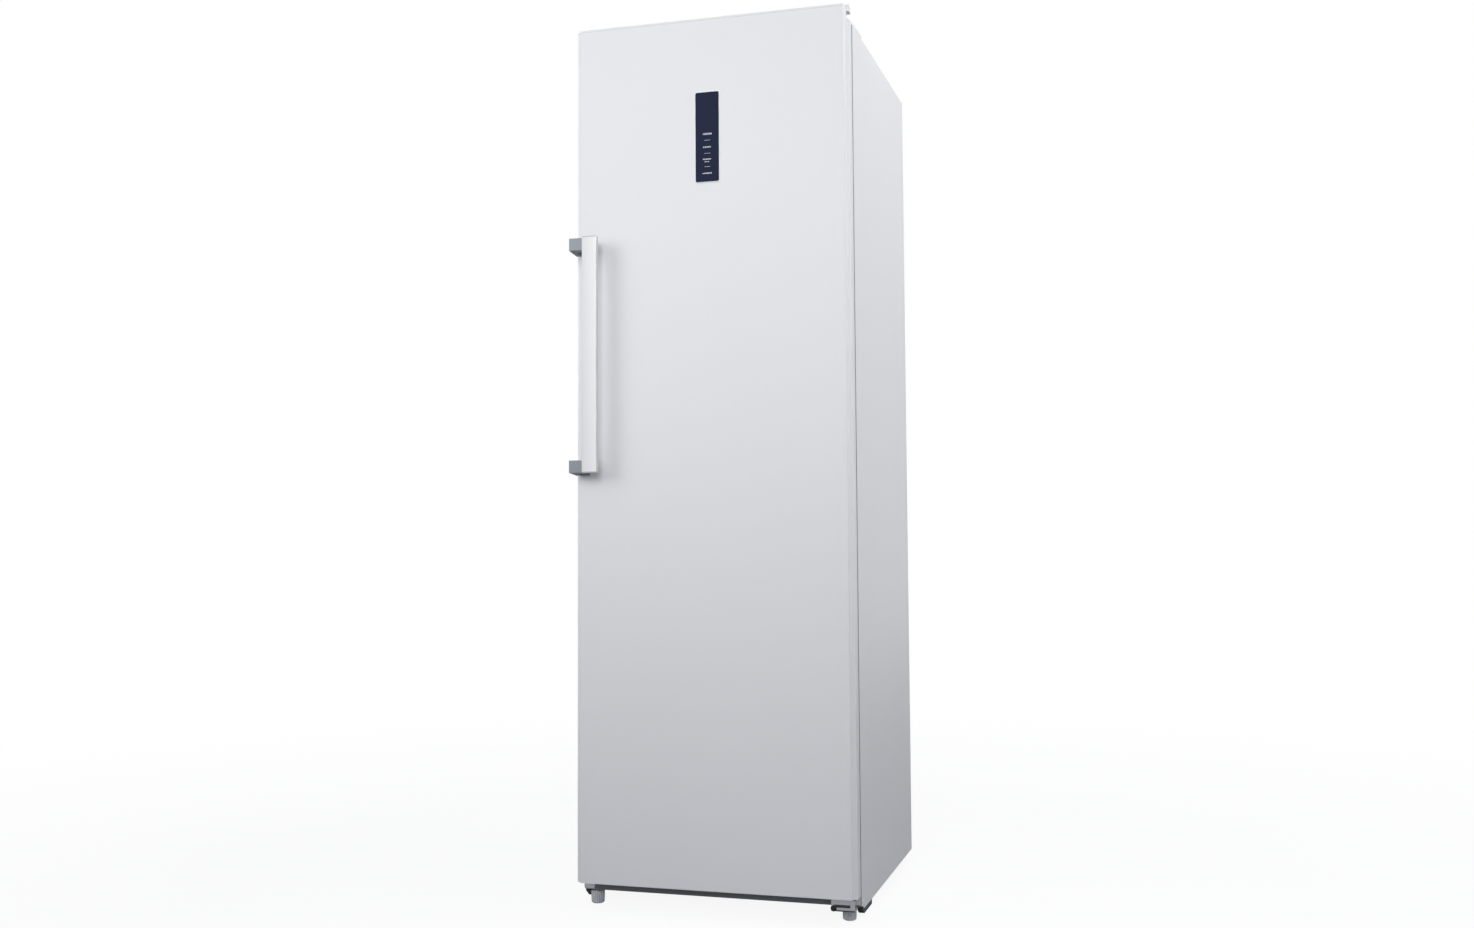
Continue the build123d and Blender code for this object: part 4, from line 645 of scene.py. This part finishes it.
def pane_box():
    """The corners of the display's pane: a little larger than the glass seat under it."""
    low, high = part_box("display_panel")
    return (Vector((low.x - PANE_SIDE + PANE_SHIFT, low.y - PANE_FRONT, low.z - PANE_END)),
            Vector((high.x + PANE_SIDE + PANE_SHIFT, low.y, high.z + PANE_END)))


def rounded_outline(low, high, radius, inset, y):
    """Points of an upright rounded rectangle, drawn in by inset, at one depth."""
    points = []
    steps = 6                # of each corner
    r = radius - inset
    for x, z, start in ((high.x - radius, high.z - radius, 0), (low.x + radius, high.z - radius, 90),
                        (low.x + radius, low.z + radius, 180), (high.x - radius, low.z + radius, 270)):
        for k in range(steps + 1):
            angle = math.radians(start + 90 / steps * k)
            points.append(Vector((x + r * math.cos(angle), y, z + r * math.sin(angle))))
    return points


def pane_skin(profile, closed=False):
    """Skins rounded rectangles round the pane: the profile gives each one's inset and depth."""
    low, high = pane_box()
    bm = bmesh.new()
    joined_rings(bm, [[bm.verts.new(p) for p in rounded_outline(low, high, PANE_RADIUS, inset, y)]
                      for inset, y in profile], closed)
    return bm


def display_pane():
    """The dark pane with eased edges, and the thin white bezel round it."""
    low, high = pane_box()
    glass = pane_skin(((0.0, high.y), (0.0, low.y + PANE_EASE), (PANE_EASE, low.y)))
    add_piece("display_pane", glass, "door", "display_black", "display_panel")
    # from the foot at the pane over the crest to the outer foot, which lies in the door
    rim = pane_skin(((0.0001, high.y), (0.0001, low.y - 0.0002), (-0.0006, low.y - 0.0003),
                     (0.0008 - BEZEL, low.y + 0.0001), (-BEZEL, high.y + 0.0004)), closed=True)
    add_piece("display_bezel", rim, "door", "white_plastic")


def display_marks():
    """Generic touch marks on the display: a number, rows of bars, dots and thin dividing lines."""
    low, high = pane_box()
    middle = (low.x + high.x) / 2
    y0 = low.y - MARK_RISE
    y1 = low.y + MARK_ROOT
    bm = bmesh.new()
    for kind, drop, wide, tall in DISPLAY_ROWS:
        x = middle - wide / 2
        z = high.z - drop - tall / 2
        if kind == "number":
            for strokes in (ONE, EIGHT):
                digit(bm, strokes, x, z, DIGIT_WIDTH * tall, tall, y0, y1)
                x += DIGIT_PITCH * tall
        if kind == "dots":
            r = DOT_RADIUS * tall
            for k in range(DOTS):
                centre = (x + tall / 2 + DOT_PITCH * tall * k, (y0 + y1) / 2, z + tall / 2)
                turned(bm, centre, "Y", [(r, (y0 - y1) / 2), (r, (y1 - y0) / 2)], steps=16)
            x += DOTS * DOT_PITCH * tall
        count = max(1, round((middle + wide / 2 - x) / BAR_PITCH)) if tall > THIN_LINE else 1
        pitch = (middle + wide / 2 - x) / count
        length = pitch * BAR_SHARE if count > 1 else pitch
        for k in range(count):
            start = x + pitch * k
            soft_block(bm, (start, y0, z), (start + length, y1, z + tall))
    add_piece("display_marks", bm, "door", "white_plastic")


def door_liner_beads():
    """The moulded cross beads on the door's inner panel."""
    low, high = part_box("door_liner")
    count = 9
    pitch = 0.17
    reach = 0.165
    tall = 0.0065
    root, rise = 0.0006, 0.0010
    bm = bmesh.new()
    for k in range(count):
        z = (low.z + high.z) / 2 + pitch * (k - (count - 1) / 2)
        soft_block(bm, (-reach, high.y - root, z), (reach, high.y + rise, z + tall), radius=0.0007)
    add_piece("door_liner_beads", bm, "door", "liner_white")


def gasket_lips():
    """The soft ridges along the face of the door seal."""
    low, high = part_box("door_gasket")
    radius = 0.0004
    root = 0.0003            # how deep the middle of a ridge lies in the seal
    y = high.y - root
    bm = bmesh.new()
    for inset in (0.0012, 0.0066, 0.0120):
        x0, x1, z0, z1 = low.x + inset, high.x - inset, low.z + inset, high.z - inset
        corners = [Vector((x, y, z)) for x, z in ((x0, z0), (x1, z0), (x1, z1), (x0, z1), (x0, z0))]
        for start, end in zip(corners, corners[1:]):
            swept(bm, [start, end], radius, steps=6)
    add_piece("gasket_lips", bm, "door", "gasket_rubber")


# ---- the lower hinge ----
SLOT_LEVEL = 0.0373          # middle of the slot in the lower hinge's riser
SLOT_SIZE = (0.0310, 0.0056)
SLOT_PLACE = 0.0227          # middle of the slot from the plate's left end
PLUG_RISE = 0.0006
PLUG_ROOT = 0.0002
BOLT_PLACE = 0.0048          # the bolt's axis from the plate's left end
BOLT_LEVEL = 0.0325
BOLT_FLANGE = (              # radius, and depth from the riser's face
    (0.0056, 0.0002), (0.0062, -0.0004), (0.0060, -0.0010), (0.0044, -0.0020),
)
BOLT_HEXAGON = ((0.0046, -0.0012), (0.0046, -0.0046), (0.0040, -0.0052))
BEAD_RADIUS = 0.0012
BEAD_INSET = 0.0006


def lower_hinge_dress():
    """The black plug in the slot and the dark bead under the riser, dark pieces that stand for the shade in the
    slot and along the riser's lower edge, and the flanged bolt beside it.
    """
    low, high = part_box("bottom_hinge_plate")
    wide, tall = SLOT_SIZE
    x = low.x + SLOT_PLACE
    bm = bmesh.new()
    # a black plug over the slot, larger than the slot: a dark piece standing for the shade in it
    soft_block(bm, (x - wide / 2, low.y - PLUG_RISE, SLOT_LEVEL - tall / 2),
               (x + wide / 2, low.y + PLUG_ROOT, SLOT_LEVEL + tall / 2), radius=0.0003)
    add_piece("hinge_slot_shade_plug", bm, "cabinet", "black_plastic")
    bm = bmesh.new()
    # a dark bead along the riser's lower edge, standing for the shade there
    start = Vector((low.x + BEAD_INSET, low.y, low.z + BEAD_RADIUS))
    swept(bm, [start, Vector((high.x - BEAD_INSET, start.y, start.z))], BEAD_RADIUS, steps=12)
    add_piece("hinge_edge_shade_bead", bm, "cabinet", "dark_steel")
    bm = bmesh.new()
    centre = Vector((low.x + BOLT_PLACE, low.y, BOLT_LEVEL))
    turned(bm, centre, "Y", BOLT_FLANGE, steps=40)
    turned(bm, centre, "Y", BOLT_HEXAGON, steps=6)
    add_piece("hinge_bolt_head", bm, "cabinet", "dark_steel")


# ---- feet and rollers ----
FLUTES = 18
FLUTE_DEPTH = 0.0016
KNOB_TOP = 0.0264
KNOB_PROFILE = (             # share of the knob's radius, height: foot, grip, upper bevel
    (0.62, 0.0), (0.80, 0.0006), (0.91, 0.0018), (0.945, 0.0023),
    (0.97, 0.006), (0.99, 0.014), (1.0, KNOB_TOP - 0.0026), (1.0, KNOB_TOP - 0.0013),
    (0.95, KNOB_TOP - 0.0010), (0.90, KNOB_TOP),
)
GRIP_START = 0.0022          # the fluted stretch
GRIP_END = KNOB_TOP - 0.0012
PLAIN_RELIEF = -0.0004       # of the rims above and below it
STUD_RADIUS = 0.0050
THREAD_PITCH = 0.0015
THREAD_DEPTH = 0.0006


def levelling_feet():
    """The fluted knobs with bevelled rims, on studs with a cut thread."""
    thread_steps = 110

    def flutes(angle, place):
        if not GRIP_START < place < GRIP_END:
            return PLAIN_RELIEF
        return -FLUTE_DEPTH * (0.5 - 0.5 * math.cos(FLUTES * angle)) ** 2

    def thread(angle, place):
        turn = (place / THREAD_PITCH - angle / (2 * math.pi)) % 1.0
        return -THREAD_DEPTH * abs(2 * turn - 1)

    for name in ("front_foot_left", "front_foot_right"):
        low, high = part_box(name)
        x, y, _ = (low + high) / 2
        r = (high.x - low.x) / 2
        bm = bmesh.new()
        profile = [(share * r, z) for share, z in KNOB_PROFILE]
        turned(bm, (x, y, 0.0), "Z", profile, 8 * FLUTES, flutes)
        add_piece(name + "_knob", bm, name, "grey_plastic", name, material=foot_grey)
        bm = bmesh.new()
        rise = high.z - KNOB_TOP
        profile = [(STUD_RADIUS, KNOB_TOP + rise * k / thread_steps) for k in range(thread_steps + 1)]
        turned(bm, (x, y, 0.0), "Z", profile, 24, thread)
        add_piece(name + "_stud", bm, name, "steel")


def roller_wheels():
    """The rear rollers with rounded treads, recessed webs and spokes."""
    bore = 0.0031
    hub = 0.0064
    recess = 0.0016
    web, rim, tread = 0.72, 0.75, 0.94    # shares of the wheel's radius
    spokes = 6
    spoke_radius = 0.0008
    for name in ("rear_roller_left", "rear_roller_right"):
        low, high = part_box(name)
        centre = (low + high) / 2
        half = (high.x - low.x) / 2
        r = (high.z - low.z) / 2
        bm = bmesh.new()
        side = [(bore, half), (hub, half), (hub + 0.0002, half - recess), (web * r, half - recess),
                (rim * r, half), (tread * r, half), (0.985 * r, half - 0.0006), (r, half - 0.0018)]
        profile = [(radius, -place) for radius, place in side] + side[::-1]
        turned(bm, centre, "X", profile, steps=64, closed=True)
        for k in range(spokes):
            angle = 2 * math.pi * k / spokes
            out = Vector((0.0, math.cos(angle), math.sin(angle)))
            for end in (-1, 1):
                start = centre + Vector((end * (half - 0.75 * recess), 0.0, 0.0))
                swept(bm, [start + out * (hub - 0.0004), start + out * 0.74 * r], spoke_radius, steps=6)
        add_piece(name + "_wheel", bm, name, "black_plastic", name)


# ---- cooling parts ----
SHELL_RADIUS = 0.0722
SEAM_RADIUS = 0.0751
SEAM_LEVEL = 0.54            # of the weld and of the upper shoulder, as shares of the height
SHOULDER_LEVEL = 0.74


def compressor_place():
    """The shell's axis, and the box of the whole compressor."""
    return middle_of("evaporation_tray").x, middle_of("compressor").y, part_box("compressor")


def compressor_dress():
    """The smooth pressed shell with its welded seam, laid over the faceted one."""
    x, y, (low, high) = compressor_place()
    tall = high.z - low.z
    r = SHELL_RADIUS
    seam = SEAM_LEVEL * tall
    bottom = 0.0031          # foot of the shell over the box's low side
    foot, swell = 0.70, 0.275             # shares of the shell's radius
    foot_rise, dome = 0.20, 0.2605        # shares of its height
    foot_steps, dome_steps = 6, 8
    profile = [(foot * r, bottom)]
    for k in range(1, foot_steps + 1):
        turn = math.radians(90 / foot_steps * k)
        level = bottom + (1 - math.cos(turn)) * foot_rise * tall
        profile.append((r * (foot + swell * math.sin(turn)), level))
    profile += [(0.978 * r, seam - 0.0034), (SEAM_RADIUS - 0.0008, seam - 0.0031),
                (SEAM_RADIUS, seam - 0.0022), (SEAM_RADIUS, seam + 0.0022),
                (SEAM_RADIUS - 0.0008, seam + 0.0031), (r, seam + 0.0034), (r, SHOULDER_LEVEL * tall)]
    for k in range(1, dome_steps + 1):
        turn = math.radians(90 / dome_steps * k)
        level = SHOULDER_LEVEL + dome * math.sin(turn)
        profile.append((max(r * math.cos(turn), 0.0008), level * tall))
    bm = bmesh.new()
    turned(bm, (x, y, low.z), "Z", profile, steps=96)
    add_piece("compressor_shell", bm, "cabinet", "compressor_paint")


def copper_pipes():
    """The pipes with round bends, and the filter drier with its spun ends and clip."""
    low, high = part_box("refrigerant_pipes")
    x, y, (shell_low, shell_high) = compressor_place()
    radius = 0.0032          # of the suction pipe
    thin = 0.8 * radius      # and of the discharge pipe
    bend = 0.014
    outer = low.x + thin
    inner = outer + 0.018
    rise = high.z - radius
    level = shell_low.z + 0.36 * (shell_high.z - shell_low.z)
    bm = bmesh.new()
    suction = [(x - SHELL_RADIUS, y, level), (inner, y, level), (inner, y, rise), (inner, low.y, rise)]
    swept(bm, rounded_path(suction, bend), radius, steps=16)
    start = x - 0.059        # the discharge pipe leaves the shell at its front left
    y1 = y - 0.042
    z0 = level + 0.010
    z1 = rise - 0.028
    discharge = [(start, y1, z0), (outer, y1, z0), (outer, y1, z1), (outer, low.y, z1)]
    swept(bm, rounded_path(discharge, bend), thin, steps=16)
    length = 0.090           # of the drier
    drier_z = shell_low.z + 0.040
    ends = [(0.0026, 0.0), (0.0030, 0.004), (0.0060, 0.010), (0.0096, 0.016), (0.0100, 0.020)]
    profile = ends + [(r, length - place) for r, place in ends[::-1]]
    turned(bm, (high.x - length, y, drier_z), "X", profile, steps=32)
    add_piece("copper_piping", bm, "cabinet", "copper", "refrigerant_pipes")
    bm = bmesh.new()
    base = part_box("compressor_tray")[0].z + 0.0016
    middle = high.x - length / 2
    half = 0.005             # of the clip's width
    post_top = drier_z - 0.0095
    soft_block(bm, (middle - half, y - half, base), (middle + half, y + half, post_top), radius=0.0008)
    seat, crest, bevel = 0.0101, 0.0111, 0.0005
    band = [(seat, -half), (crest, bevel - half), (crest, half - bevel), (seat, half)]
    turned(bm, (middle, y, drier_z), "X", band, steps=32, closed=True)
    add_piece("drier_clip", bm, "cabinet", "zinc_sheet")


def fan_impeller():
    """The fan with a rounded hub and twisted, curved blades."""
    low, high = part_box("fan_rotor")
    spin = [joint for joint in frame["joints"] if joint["name"] == "fan_spin"][0]
    centre = Vector((0.0, (low.y + high.y) / 2, spin["pos_m"][2]))
    half = (high.y - low.y) / 2
    root, tip = 0.0160, 0.0510
    hub_radius = 0.0170
    bore = 0.0021
    blades = 5
    width, taper, sweep = 0.70, 0.16, 0.10    # of a blade, in radians
    slope, crown, tip_round = 1.6, 0.0012, 0.0030
    rows = 9
    bm = bmesh.new()
    hub = [(bore, -half), (0.0140, -half), (0.0162, -half + 0.0012), (hub_radius, -half + 0.0040),
           (hub_radius, half), (bore, half)]
    turned(bm, centre, "Y", hub, steps=40, closed=True)
    for blade in range(blades):
        points = []
        for i in range(rows):
            share = i / (rows - 1)
            row = []
            for j in range(rows):
                across = j / (rows - 1) - 0.5
                turn = 2 * math.pi * blade / blades + across * (width - taper * share) + sweep * share
                lift = -across * slope * (half - 0.0020) + crown * math.cos(math.pi * across)
                reach = root + (tip - root) * share - tip_round * share ** 6 * abs(2 * across) ** 3
                row.append(bm.verts.new(centre + Vector((reach * math.cos(turn), lift,
                                                         reach * math.sin(turn)))))
            points.append(row)
        thicken(bm, points, thickness=0.0010)
    add_piece("fan_impeller", bm, "fan", "white_plastic", "fan_rotor")


def finned_coil():
    """The evaporator with round bends and close fins."""
    low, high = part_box("evaporator_coil")
    y = (low.y + high.y) / 2
    tube = 0.0040
    runs = 6
    pitch = (high.z - low.z) / runs
    half = high.x - tube
    corners = []
    for i in range(runs):
        side = 1 if i % 2 == 0 else -1
        z = low.z + pitch * (i + 0.5)
        corners += [(-side * half, y, z), (side * half, y, z)]
    bm = bmesh.new()
    swept(bm, rounded_path(corners, bend=0.48 * pitch, steps=6), tube, steps=14)
    fins = 46
    fin_half, end_half = 0.00016, 0.0006
    reach = half - pitch
    for k in range(fins):
        x = -reach + 2 * reach * k / (fins - 1)
        thick = end_half if k in (0, fins - 1) else fin_half
        soft_block(bm, (x - thick, low.y, low.z), (x + thick, high.y, high.z))
    add_piece("finned_coil", bm, "cabinet", "coil_aluminium", "evaporator_coil")


def cover_louvres():
    """Pressed hoods over the slots of the machine compartment's cover."""
    low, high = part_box("machine_cover")
    width, tall = 0.112, 0.006
    first, pitch, rows = 0.050, 0.021, 6
    root, rise = 0.0003, 0.0016
    steps = 6
    ends = ((-0.5, 0.15), (-0.485, 1.0), (0.485, 1.0), (0.5, 0.15))    # share of the width, swell
    bm = bmesh.new()
    for column in (-1.5, -0.5, 0.5, 1.5):
        for row in range(rows):
            x = column * (width + 3 * tall)
            z = low.z + first + pitch * row
            lines = []
            for place, swell in ends:
                line = []
                for k in range(steps + 1):
                    turn = math.pi / 2 * k / steps
                    line.append(bm.verts.new((x + place * width,
                                              high.y - root + rise * swell * math.cos(turn),
                                              z - tall / 2 + (tall + rise) * math.sin(turn))))
                lines.append(line)
            thicken(bm, lines, thickness=0.0003, inward=True)
    add_piece("cover_louvres", bm, "cabinet", "grey_paint")


def control_cover():
    """The control box cover as a pressed sheet: flange, raised panel and stiffening ribs."""
    low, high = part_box("control_box_cover")
    flange = 0.0123          # from the sheet's edge to the raised panel
    sheet = 0.0008
    sunk = 0.0005
    border = 0.006
    ribs = 5
    rib_inset, rib_half = 0.028, 0.003
    x0, x1 = low.x + flange, high.x - flange
    z0, z1 = low.z + flange, high.z - flange
    bm = bmesh.new()
    soft_block(bm, low, (high.x, high.y - sheet, high.z), radius=0.0004)
    soft_block(bm, (x0, low.y + 0.0004, z0), (x1, high.y - sunk, z1), radius=0.0003)
    bar_frame(bm, x0, x1, high.y - 2 * sunk, high.y, z0, z1, border, radius=0.0002)
    for k in range(ribs):
        z = z0 + (z1 - z0) * (k + 1) / (ribs + 1)
        soft_block(bm, (x0 + rib_inset, high.y - 2 * sunk, z - rib_half),
                   (x1 - rib_inset, high.y, z + rib_half), radius=0.0002)
    add_piece("control_cover_pressing", bm, "cabinet", "grey_paint", "control_box_cover")


# ---- inside ----
FRONT_SET = 0.0160           # plate of a drawer or flap behind the tip of its grip
MOULDING_ROOT = 0.0004       # how deep a moulding sits in its plate
MOULDING_RISE = 0.0012       # of its border
MOULDING_STEP = 0.0004       # its ribs are that much lower


def drawer_mouldings():
    """The raised borders, cross ribs and grip line on each drawer's front."""
    side_margin, low_margin, high_margin = 0.014, 0.012, 0.030
    border, panel_border, panel_inset = 0.0030, 0.0018, 0.016
    rib_levels, rib_inset, rib_tall = (0.36, 0.50, 0.64), 0.050, 0.0022
    line_inset, line_low, line_high = 0.020, 0.0100, 0.0075
    for index in range(1, 6):
        name = f"drawer_{index}"
        low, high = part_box(name)
        y1 = low.y + FRONT_SET + MOULDING_ROOT
        y0 = y1 - (MOULDING_ROOT + MOULDING_RISE)
        lower = y0 + MOULDING_STEP
        x0, x1 = low.x + side_margin, high.x - side_margin
        z0, z1 = low.z + low_margin, high.z - high_margin
        bm = bmesh.new()
        bar_frame(bm, x0, x1, y0, y1, z0, z1, border, radius=0.0007)
        bar_frame(bm, x0 + panel_inset, x1 - panel_inset, lower, y1, z0 + panel_inset, z1 - panel_inset,
                  panel_border, radius=0.0005)
        for share in rib_levels:
            z = z0 + (z1 - z0) * share
            soft_block(bm, (x0 + rib_inset, lower, z), (x1 - rib_inset, y1, z + rib_tall), radius=0.0005)
        add_piece(name + "_moulding", bm, name, "clear_plastic")
        bm = bmesh.new()
        soft_block(bm, (low.x + line_inset, low.y - 0.0002, high.z - line_low),
                   (high.x - line_inset, low.y + 0.0012, high.z - line_high), radius=0.0004)
        add_piece(name + "_grip_line", bm, name, "trim_plastic")


def flap_mouldings():
    """The raised borders and cross ribs on the two flaps."""
    reach = 0.2115
    border, end_inset = 0.0030, 0.020
    ribs, rib_inset, rib_tall = 4, 0.030, 0.0020
    for index in (1, 2):
        name = f"flap_{index}"
        low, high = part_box(name)
        y0 = low.y + FRONT_SET - MOULDING_RISE
        y1 = low.y + FRONT_SET + MOULDING_ROOT
        z0, z1 = low.z + end_inset, high.z - end_inset
        bm = bmesh.new()
        bar_frame(bm, -reach, reach, y0, y1, z0, z1, border, radius=0.0006)
        for k in range(ribs):
            z = z0 + (z1 - z0) * (k + 1) / (ribs + 1)
            soft_block(bm, (rib_inset - reach, y0 + MOULDING_STEP, z),
                       (reach - rib_inset, y1, z + rib_tall), radius=0.0004)
        add_piece(name + "_moulding", bm, name, "clear_plastic")


def vent_levels():
    """The heights of the duct's vent rows, worked out from the glass plates."""
    glass = 0.004            # thickness of a plate
    row_share = 0.7          # a row's place between two plates
    corners = sorted({round(v.co.z, 4) for v in nodes["glass_shelves"].data.vertices})
    levels = [z for z in corners if not any(abs(z - glass - other) < 0.0005 for other in corners)]
    tops = levels[1:] + [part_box("duct_cover")[1].z]
    return [level + row_share * (top - level) for level, top in zip(levels, tops)]


def duct_vents():
    """A raised border round each row of vents, and upright slats in them."""
    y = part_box("duct_cover")[0].y
    reach, half, border = 0.172, 0.0085, 0.0030
    root, rise = 0.0004, 0.0012
    slats, slat_pitch, slat_half, slat_reach = 33, 0.0102, 0.0004, 0.0030
    bm = bmesh.new()
    for z in vent_levels():
        bar_frame(bm, -reach, reach, y - rise, y + root, z - half, z + half, border, radius=0.0006)
        for k in range(slats):
            x = slat_pitch * (k - slats // 2)
            soft_block(bm, (x - slat_half, y + 0.0002, z - slat_reach),
                       (x + slat_half, y + 0.0018, z + slat_reach))
    add_piece("duct_vent_frames", bm, "cabinet", "liner_white")


# ---- floor, light and camera ----
def seen(tree, *kinds):
    """One where the ray is of one of these kinds, else zero."""
    path = tree.nodes.new("ShaderNodeLightPath")
    found = path.outputs[kinds[0]]
    for kind in kinds[1:]:
        either = tree.nodes.new("ShaderNodeMath")
        either.operation = "MAXIMUM"
        tree.links.new(found, either.inputs[0])
        tree.links.new(path.outputs[kind], either.inputs[1])
        found = either.outputs[0]
    return found


def background(tree, colour, strength):
    node = tree.nodes.new("ShaderNodeBackground")
    node.inputs["Color"].default_value = (*colour, 1.0)
    node.inputs["Strength"].default_value = strength
    return node.outputs[0]


def make_world():
    """White for the camera and for reflections, and a soft cool light for the rest."""
    world = bpy.data.worlds.new("studio")
    bpy.context.scene.world = world
    world.use_nodes = True
    tree = world.node_tree
    tree.nodes.clear()
    mix = tree.nodes.new("ShaderNodeMixShader")
    tree.links.new(seen(tree, "Is Camera Ray", "Is Glossy Ray", "Is Transmission Ray"), mix.inputs["Fac"])
    tree.links.new(background(tree, AMBIENT_COLOUR, AMBIENT), mix.inputs[1])
    tree.links.new(background(tree, (1.0, 1.0, 1.0), 1.0), mix.inputs[2])
    out = tree.nodes.new("ShaderNodeOutputWorld")
    tree.links.new(mix.outputs[0], out.inputs["Surface"])


def make_floor():
    """A pale floor that looks white, keeps a faint shadow near the object and shows no edge."""
    mesh = bpy.data.meshes.new("floor")
    corners = [(x * FLOOR_HALF, y * FLOOR_HALF, 0) for x, y in ((-1, -1), (1, -1), (1, 1), (-1, 1))]
    mesh.from_pydata(corners, [], [(0, 1, 2, 3)])
    floor = new_object("floor", mesh)
    t = Tree("floor_paper")
    t.set(Base_Color=(*FLOOR_PAPER, 1.0), Roughness=0.9, Specular_IOR_Level=0.0)
    glow = t.add("ShaderNodeEmission")
    length = t.add("ShaderNodeVectorMath", operation="LENGTH")
    t.join(t.place, length.inputs[0])
    distance = length.outputs["Value"]
    weight = t.number_range(distance, FLOOR_GLOW, 1.0, *FLOOR_FADE)
    strength = t.number_range(distance, FLOOR_GLOW_STRENGTH, 1.0, *FLOOR_FADE)
    t.join(strength, glow.inputs["Strength"])
    tree = t.material.node_tree
    direct = t.maths("MULTIPLY", weight, seen(tree, "Is Camera Ray", "Is Transmission Ray"))
    far = t.number_range(distance, 0.0, 1.0, 1.0, FLOOR_MIRROR_REACH)
    mirrored = t.maths("MULTIPLY", far, seen(tree, "Is Glossy Ray"))
    factor = t.maths("MAXIMUM", direct, mirrored)
    mix = t.add("ShaderNodeMixShader")
    t.join(factor, mix.inputs["Fac"])
    t.join(t.shader.outputs[0], mix.inputs[1])
    t.join(glow.outputs[0], mix.inputs[2])
    t.join(mix.outputs[0], t.nodes["Material Output"].inputs["Surface"])
    mesh.materials.append(t.material)


def softbox(name, place, target, size, spread, power):
    """An area light of that size, turned to its target."""
    light = bpy.data.lights.new(name, "AREA")
    light.shape = "RECTANGLE"
    light.size, light.size_y = size
    light.spread = math.radians(spread)
    light.energy = power
    lamp = new_object(name, light)
    lamp.location = place
    aim = Vector(target) - Vector(place)
    lamp.rotation_euler = aim.to_track_quat("-Z", "Y").to_euler()


def make_camera():
    """The camera that took the photograph, fitted to the object's corners."""
    yaw, pitch, roll = (math.radians(a) for a in (CAMERA_YAW, CAMERA_PITCH, CAMERA_ROLL))
    data = bpy.data.cameras.new("camera")
    data.sensor_fit = "HORIZONTAL"
    data.sensor_width = SENSOR
    data.lens = FOCAL_PIXELS / IMAGE_WIDTH * SENSOR
    data.shift_y = (PRINCIPAL_ROW - IMAGE_HEIGHT / 2) / IMAGE_WIDTH
    camera = new_object("camera", data)
    ahead = Vector((-math.sin(yaw) * math.cos(pitch), math.cos(yaw) * math.cos(pitch), math.sin(pitch)))
    right = Vector((math.cos(yaw), math.sin(yaw), 0.0))
    up = right.cross(ahead)
    tilted_right = right * math.cos(roll) + up * math.sin(roll)
    tilted_up = up * math.cos(roll) - right * math.sin(roll)
    turn = Matrix((tilted_right, tilted_up, -ahead)).transposed()
    camera.matrix_world = Matrix.Translation(CAMERA_PLACE) @ turn.to_4x4()
    bpy.context.scene.camera = camera


make_camera()
dress_cad_nodes()
display_pane()
display_marks()
door_liner_beads()
gasket_lips()
lower_hinge_dress()
levelling_feet()
roller_wheels()
compressor_dress()
copper_pipes()
fan_impeller()
finned_coil()
cover_louvres()
control_cover()
drawer_mouldings()
flap_mouldings()
duct_vents()
make_world()
make_floor()
for settings in SOFTBOXES:
    softbox(*settings)
bpy.context.scene.view_settings.view_transform = "Standard"
